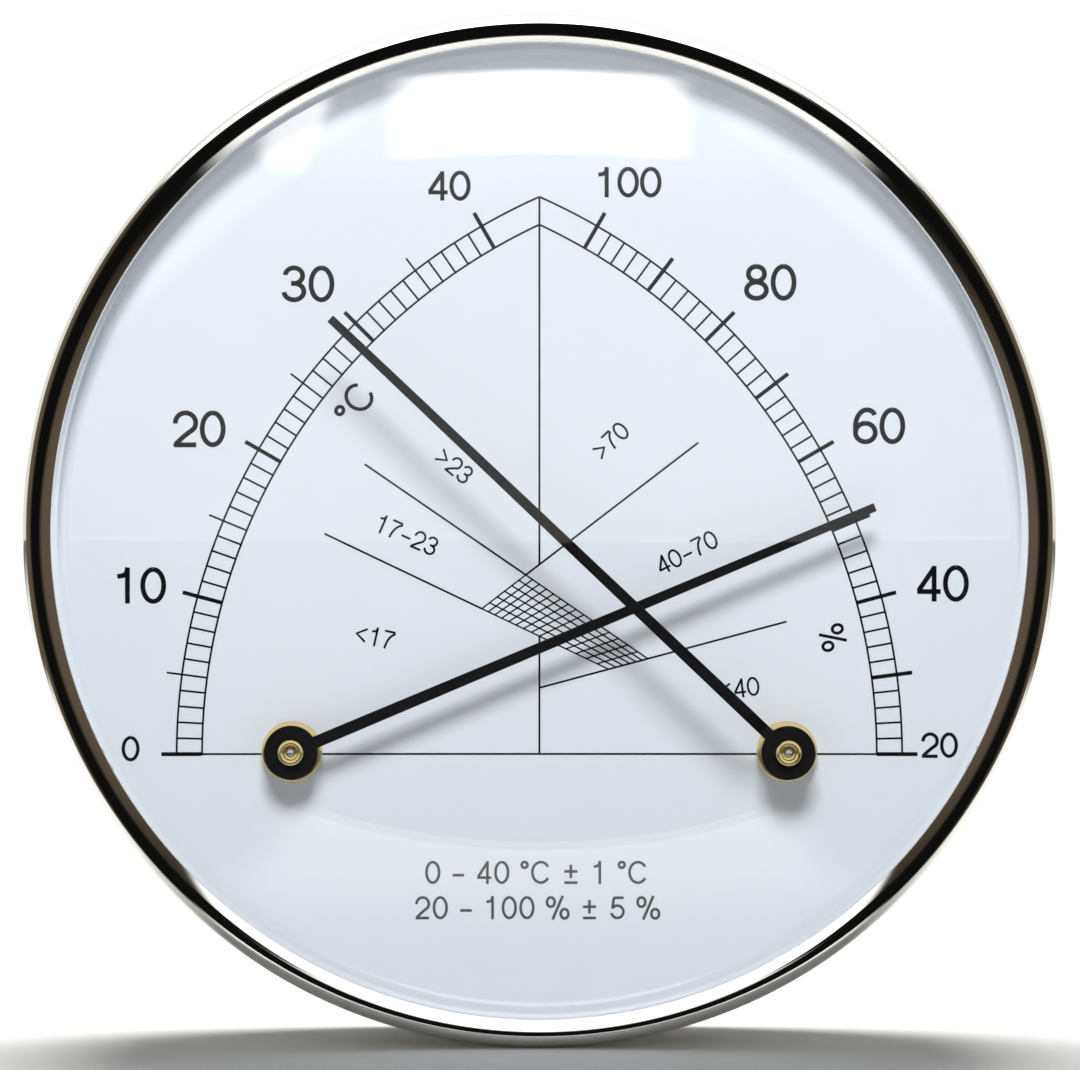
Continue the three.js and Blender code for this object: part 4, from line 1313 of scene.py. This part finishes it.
# Width and strokes of each character in a box one unit high: points, and arcs as
# (x, y, radius across, radius up, start, end)
GLYPHS = {
    "0": (0.70, [[(0.335, 0.5, 0.27, 0.44, 90, 450)]]),
    "1": (0.70, [[(0.11, 0.745), (0.14, 0.90, 0.22, 0.15, -60, 0), (0.372, 1.0)],
                 [(0.372, 0.0), (0.372, 0.995)]]),
    "2": (0.70, [[(0.335, 0.665, 0.262, 0.275, 184, -38), (0.30, 0.30), (0.10, 0.10), (0.075, 0.0)],
                 [(0.05, 0.058), (0.61, 0.058)]]),
    "3": (0.70, [[(0.325, 0.725, 0.225, 0.215, 175, -80), (0.25, 0.512)],
                 [(0.25, 0.512), (0.325, 0.288, 0.255, 0.228, 80, -176)]]),
    "4": (0.70, [[(0.475, 0.93), (0.075, 0.30)], [(0.04, 0.275), (0.645, 0.275)],
                 [(0.475, 0.0), (0.475, 0.985)]]),
    "5": (0.70, [[(0.595, 0.925), (0.165, 0.925)], [(0.18, 0.925), (0.11, 0.46)],
                 [(0.125, 0.485), (0.325, 0.325, 0.258, 0.265, 130, -168)]]),
    "6": (0.70, [[(0.34, 0.315, 0.255, 0.255, 90, 450)],
                 [(0.085, 0.33), (0.375, 0.48, 0.29, 0.46, 178, 95), (0.385, 0.75, 0.2, 0.19, 90, 14)]]),
    "7": (0.70, [[(0.055, 0.925), (0.61, 0.925)], [(0.59, 0.9), (0.72, 0.0, 0.49, 0.86, 106, 179)]]),
    "8": (0.70, [[(0.335, 0.735, 0.208, 0.203, 90, 450)], [(0.335, 0.283, 0.256, 0.223, 90, 450)]]),
    "9": (0.70, [[(0.33, 0.685, 0.255, 0.255, 90, 450)],
                 [(0.585, 0.67), (0.295, 0.52, 0.29, 0.46, -2, -85), (0.285, 0.25, 0.2, 0.19, -90, -166)]]),
    "%": (1.08, [[(0.235, 0.74, 0.165, 0.2, 90, 450)], [(0.825, 0.24, 0.165, 0.2, 90, 450)],
                 [(0.31, -0.01), (0.75, 1.01)]]),
    "C": (0.92, [[(0.435, 0.5, 0.365, 0.44, 33, 327)]]),
    "deg": (0.42, [[(0.19, 0.82, 0.125, 0.125, 90, 450)]]),
    "<": (0.76, [[(0.63, 0.80), (0.12, 0.46), (0.63, 0.12)]]),
    ">": (0.76, [[(0.09, 0.80), (0.60, 0.46), (0.09, 0.12)]]),
    "-": (0.66, [[(0.06, 0.38), (0.56, 0.38)]]),
    "+-": (0.80, [[(0.36, 0.25), (0.36, 0.83)], [(0.08, 0.54), (0.64, 0.54)], [(0.08, 0.06), (0.64, 0.06)]]),
    " ": (0.34, []),
}


def stroke_points(items):
    points = []
    for item in items:
        if len(item) == 2:
            points.append(item)
            continue
        x, y, rx, ry, start, end = item
        steps = max(STROKE_STEPS, round(abs(end - start) / STROKE_DEGREES))
        points.extend(arc((x, y), (rx, ry), start, end, steps))
    return points


def write(page, characters, place, height, degrees=0.0, stroke=NUMERAL_STROKE, spacing=1.0, stretch=1.0):
    """Characters centred on a place of the dial, turned anticlockwise by degrees."""
    widths = [GLYPHS[c][0] * spacing for c in characters]
    total = sum(widths)
    turn = Matrix.Rotation(math.radians(degrees), 2)
    cursor = -total / 2
    for character, width in zip(characters, widths):
        for items in GLYPHS[character][1]:
            centreline = []
            for x, y in stroke_points(items):
                spot = turn @ Vector(((cursor + x) * stretch, y - 0.5)) * height
                centreline.append((place[0] + spot.x, place[1] + spot.y))
            page.line(centreline, stroke * height)
        cursor += width


def pixel(x, y):
    """Place on the dial of a point of the photograph."""
    return ((x - CASE_CENTRE_X) * PRINT_SCALE, (CASE_CENTRE_Y - y) * PRINT_SCALE)


def numerals(page):
    """Scale numbers, each at its middle in the photograph with its height in pixels."""
    places = [
        ("40", 450, 188, 29.5), ("30", 310, 285.5, 36), ("20", 202, 429.5, 36), ("10", 143, 585, 36),
        ("0", 134, 747, 25), ("100", 628, 184.5, 30), ("80", 769, 284, 36), ("60", 877, 426.5, 36),
        ("40", 940, 583, 36), ("20", 937, 743.5, 25),
    ]
    for text, x, y, height in places:
        write(page, list(text), pixel(x, y), height * PRINT_SCALE, stretch=NUMERAL_STRETCH)


def labels(page):
    """Units beside the scales, and a plain range in each zone."""
    write(page, ["deg", "C"], pixel(357, 403), UNIT_HEIGHT, 59, stroke=UNIT_STROKE, stretch=UNIT_STRETCH)
    write(page, ["%"], pixel(831, 637), PERCENT_HEIGHT, -78, stroke=UNIT_STROKE)
    ranges = [
        (">23", 455, 466, -40), ("17-23", 408, 535, -24), ("<17", 376, 636, -13),
        (">70", 610, 441, 43), ("40-70", 686, 552, 27), ("<40", 738, 687, 7),
    ]
    for text, x, y, degrees in ranges:
        write(page, list(text), pixel(x, y), ZONE_HEIGHT, degrees, stroke=SMALL_STROKE)


def captions(page):
    """Two grey lines that give each scale's range and tolerance."""
    temperature = ["0", " ", "-", " ", "4", "0", " ", "deg", "C", " ", "+-", " ", "1", " ", "deg", "C"]
    humidity = ["2", "0", " ", "-", " ", "1", "0", "0", " ", "%", " ", "+-", " ", "5", " ", "%"]
    for characters, place in ((temperature, pixel(538, 870)), (humidity, pixel(539, 905))):
        write(page, characters, place, CAPTION_HEIGHT, stroke=SMALL_STROKE, spacing=CAPTION_SPACING)


def printing():
    page = Print()
    scale_marks(page, humidity_scale, HUMIDITY_DEGREES * 2, long_every=5, thick_every=5)
    scale_marks(page, temperature_scale, TEMPERATURE_DEGREES, long_every=5, thick_every=10)
    zone_lines(page)
    numerals(page)
    labels(page)
    page.add("dial_print", dial_ink)
    grey = Print()
    captions(grey)
    grey.add("dial_captions", caption_ink)


# Studio


def camera():
    pixel_size = case["radius"] / CASE_RADIUS_PIXELS
    made = placed("camera", bpy.data.cameras.new("camera"))
    made.data.sensor_width = SENSOR_WIDTH
    made.data.lens = SENSOR_WIDTH * CAMERA_DISTANCE / (PHOTO_WIDTH * pixel_size)
    aside = (PHOTO_WIDTH / 2 - CASE_CENTRE_X) * pixel_size
    below = (CASE_CENTRE_Y - PHOTO_HEIGHT / 2) * pixel_size
    made.location = to_world((aside, below, bezel_seat + CAMERA_DISTANCE))
    made.rotation_euler = (math.pi / 2, 0, 0)
    made.data.clip_start, made.data.clip_end = CLIP_RANGE
    bpy.context.scene.camera = made


def set_towards(made, aim, direction, distance, slant=0.0):
    """Sets a lamp or card at a distance from its aim, in a direction, facing the aim."""
    azimuth, elevation = (math.radians(a) for a in direction)
    way = Vector((
        math.sin(azimuth) * math.cos(elevation),
        -math.cos(azimuth) * math.cos(elevation),
        math.sin(elevation),
    ))
    target = to_world(aim)
    made.location = target + way * distance
    made.rotation_mode = "QUATERNION"
    roll = Matrix.Rotation(math.radians(slant), 3, "Z").to_quaternion()
    made.rotation_quaternion = (made.location - target).to_track_quat("Z", "Y") @ roll


def hide_from(made, *rays):
    for ray in rays:
        setattr(made, f"visible_{ray}", False)


def link_lamp(lamp, lit, shading=None):
    """Limits a lamp to the pieces that it lights, and its shadows to those of some pieces."""
    lamp.light_linking.receiver_collection = group(lamp.name + "_receivers", lit)
    if shading:
        lamp.light_linking.blocker_collection = group(lamp.name + "_blockers", shading)


def group(name, things):
    made = bpy.data.collections.new(name)
    for thing in things:
        made.objects.link(thing)
    return made


def area_lamp(name, direction, distance, size, power):
    """Rectangular lamp that faces the dial, from a direction given as (azimuth, elevation)."""
    lamp = bpy.data.lights.new(name, "AREA")
    lamp.shape = "RECTANGLE"
    lamp.size, lamp.size_y = size
    lamp.energy = power
    made = placed(name, lamp)
    set_towards(made, (0, 0, dial["front"]), direction, distance)
    hide_from(made, "camera", "glossy", "transmission")
    return made


def studio_world():
    """Even pale light, white where the camera sees it. Gloss sees a room of its own.

    That room is dark on the camera's side, dim at the sides, white behind and bright above.
    """
    world = bpy.data.worlds.new("studio")
    world.use_nodes = True
    graph = Graph(world.node_tree)
    x, y, z = graph.split(graph.coordinates("Generated"))
    aside = graph.math("ABSOLUTE", x)
    room = graph.colors(graph.step(aside, SIDE_START), DARK, SIDE)
    room = graph.colors(graph.step(y, BACK_START), room, BEHIND)
    narrow = graph.less(graph.step(aside, BRIGHT_HALF_WIDTH))
    low = graph.math("MULTIPLY", graph.step(z, BRIGHT_START), narrow)
    above = graph.math("MAXIMUM", low, graph.step(z, BRIGHT_ALL_ROUND))
    room = graph.colors(above, room, BRIGHT)
    over = graph.math("MULTIPLY", above, graph.step(z, OVERHEAD_START))
    room = graph.colors(over, room, OVERHEAD)
    paths = graph.add("ShaderNodeLightPath").outputs
    seen = graph.math("MAXIMUM", paths["Is Camera Ray"], paths["Is Transmission Ray"])
    color = graph.colors(paths["Is Glossy Ray"], (FILL_LEVEL, FILL_LEVEL, FILL_LEVEL, 1), room)
    color = graph.colors(seen, color, (1, 1, 1, 1))
    graph.finish(graph.shader("ShaderNodeBackground", color, 1.0), "ShaderNodeOutputWorld")
    bpy.context.scene.world = world


def plane(name, points):
    """Stage object of one square, with an empty graph for its material."""
    mesh = bpy.data.meshes.new(name)
    mesh.from_pydata(points, [], [[0, 1, 2, 3]])
    material = bpy.data.materials.new(name)
    material.use_nodes = True
    mesh.materials.append(material)
    made = placed(name, mesh)
    made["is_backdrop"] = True
    return made, Graph(material.node_tree)


def floor():
    """Pale floor that the case stands on.

    Seen by the camera it fades to white with the distance. Gloss sees its front dark and dim like
    the room's, but for a bright strip close to the case.
    """
    level = -case["radius"] * MM
    reach = FLOOR_REACH
    made, graph = plane("floor", [
        (-reach, -reach, level), (reach, -reach, level), (reach, reach, level), (-reach, reach, level),
    ])
    paths = graph.add("ShaderNodeLightPath").outputs
    place = graph.coordinates("Object")
    x, y, _ = graph.split(place)
    outward = graph.math("ABSOLUTE", x)
    bent = graph.math("MULTIPLY_ADD", graph.math("MULTIPLY", x, x), FRONT_CURVE, y)
    ahead = graph.math("LESS_THAN", bent, FRONT_EDGE)
    front_part = graph.step(graph.math("MULTIPLY", y, -1.0), GLOSS_START)
    corner = graph.math("MULTIPLY", front_part, graph.step(outward, FRONT_HALF_WIDTH))
    sideways = graph.less(graph.step(graph.math("DIVIDE", y, outward), BACK_START))
    side = graph.math("MULTIPLY", graph.step(outward, FRONT_SIDE), sideways)
    beyond = graph.math("MAXIMUM", ahead, graph.math("MAXIMUM", corner, side))
    hidden = graph.math("MULTIPLY", beyond, paths["Is Glossy Ray"])
    heading = graph.split(graph.vector("NORMALIZE", "Vector", place))[0]
    front = graph.colors(graph.step(graph.math("ABSOLUTE", heading), SIDE_START), DARK, SIDE)
    mirrored = graph.math("MULTIPLY", front_part, paths["Is Glossy Ray"])
    seen = graph.math("MULTIPLY", paths["Is Camera Ray"], FLOOR_LIFT)
    lifted = graph.math("MULTIPLY_ADD", mirrored, GLOSS_LIFT, seen)
    pale = graph.shader("ShaderNodeBsdfDiffuse", (*PALE_FLOOR, 1))
    lit = graph.shader("ShaderNodeAddShader", pale, graph.shader("ShaderNodeEmission", WARM_WHITE, lifted))
    near = graph.shader("ShaderNodeMixShader", hidden, lit, graph.shader("ShaderNodeEmission", front, 1.0))
    away = graph.step(graph.vector("LENGTH", "Value", place), FLOOR_FADE)
    faded = graph.math("MULTIPLY", away, paths["Is Camera Ray"])
    white = graph.shader("ShaderNodeEmission", (1, 1, 1, 1), 1.0)
    graph.finish(graph.shader("ShaderNodeMixShader", faded, near, white))
    return made


def glow_card(name, mirror, aim, direction, size, strength, slant, softness):
    """Soft-edged bright rectangle that shows only in one piece's gloss, as a lamp's screen does."""
    made, graph = plane(name, [(-1, -1, 0), (1, -1, 0), (1, 1, 0), (-1, 1, 0)])
    made.scale = (size[0] / 2, size[1] / 2, 1)
    set_towards(made, aim, direction, CARD_DISTANCE, slant)
    amounts = []
    for value, soft in zip(graph.split(graph.coordinates("Object")), softness):
        amounts.append(graph.step(graph.math("ABSOLUTE", value), (1.0, 1 - soft)))
    level = graph.math("MULTIPLY", graph.math("MULTIPLY", *amounts), strength)
    glow = graph.shader("ShaderNodeEmission", (1, 1, 1, 1), level)
    clear = graph.shader("ShaderNodeBsdfTransparent")
    graph.finish(graph.shader("ShaderNodeAddShader", clear, glow))
    hide_from(made, "camera", "diffuse", "transmission", "shadow")
    link_lamp(made, [bpy.data.objects[mirror]])


def key_flag():
    """Low wall inside the spacer that gives the key's shadow at the dial's rim its width."""
    outer = spacer["radius"] - SPACER_WALL - FLAG_GAP
    inner = outer - FLAG_GAP
    low = dial["front"] + FLAG_GAP
    high = dial["front"] + FLAG_HEIGHT
    section = [(inner, low), (outer, low), (outer, high), (inner, high)]
    made = placed("key_flag", turned("key_flag", section, steps=RING_STEPS))
    hide_from(made, "camera", "diffuse", "glossy", "transmission")
    made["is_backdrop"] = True
    return made


def lamps(ground):
    """Soft key from above. Under the bezel's lip the dial takes it unshaded, with the pointers' shadows."""
    hands = []
    inside = []
    outside = []
    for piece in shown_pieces():
        if piece.name in HANDS:
            hands.append(piece)
        kept_by = inside if piece.name in HANDS + DIAL_PIECES else outside
        kept_by.append(piece)
    direction = (0, KEY_ELEVATION)
    key = area_lamp("key", direction, KEY_DISTANCE, KEY_SIZE, KEY_POWER)
    link_lamp(key, inside, hands + [key_flag()])
    key_outside = area_lamp("key_outside", direction, KEY_DISTANCE, OUTSIDE_KEY_SIZE, KEY_POWER)
    link_lamp(key_outside, outside)
    overhead = area_lamp("overhead", OVERHEAD_DIRECTION, OVERHEAD_DISTANCE, OVERHEAD_SIZE, OVERHEAD_POWER)
    link_lamp(overhead, [ground])


KINDS = ("humidity", "temperature")
HANDS = [f"{kind}_{part}_fine" for kind in KINDS for part in ("pointer", "bush", "arbor", "post")]
DIAL_PIECES = ["dial_plate", "dial_print", "dial_captions"]

camera()
dress_nodes()
bezel_ring()
crystal()
crystal_gasket()
spacer_ring()
case_drum()
back_cover()
cover_screws()
for kind in KINDS:
    post(kind)
    bush(kind)
    arbor(kind)
pointer("humidity", HUMIDITY_REACH, HUMIDITY_ANGLE)
pointer("temperature", TEMPERATURE_REACH, TEMPERATURE_ANGLE)
bimetal_coil()
return_spring()
humidity_strand()
edge_inner_nodes()
printing()
studio_world()
lamps(floor())
glow_card("softbox", "crystal_fine", *SOFTBOX)
glow_card("steel_softbox", "bezel_ring_fine", *STEEL_SOFTBOX)
glow_card("window", "crystal_fine", *WINDOW)
glow_card("left_veil", "crystal_fine", *LEFT_VEIL)
glow_card("right_veil", "crystal_fine", *RIGHT_VEIL)
bpy.context.scene.view_settings.view_transform = "Standard"
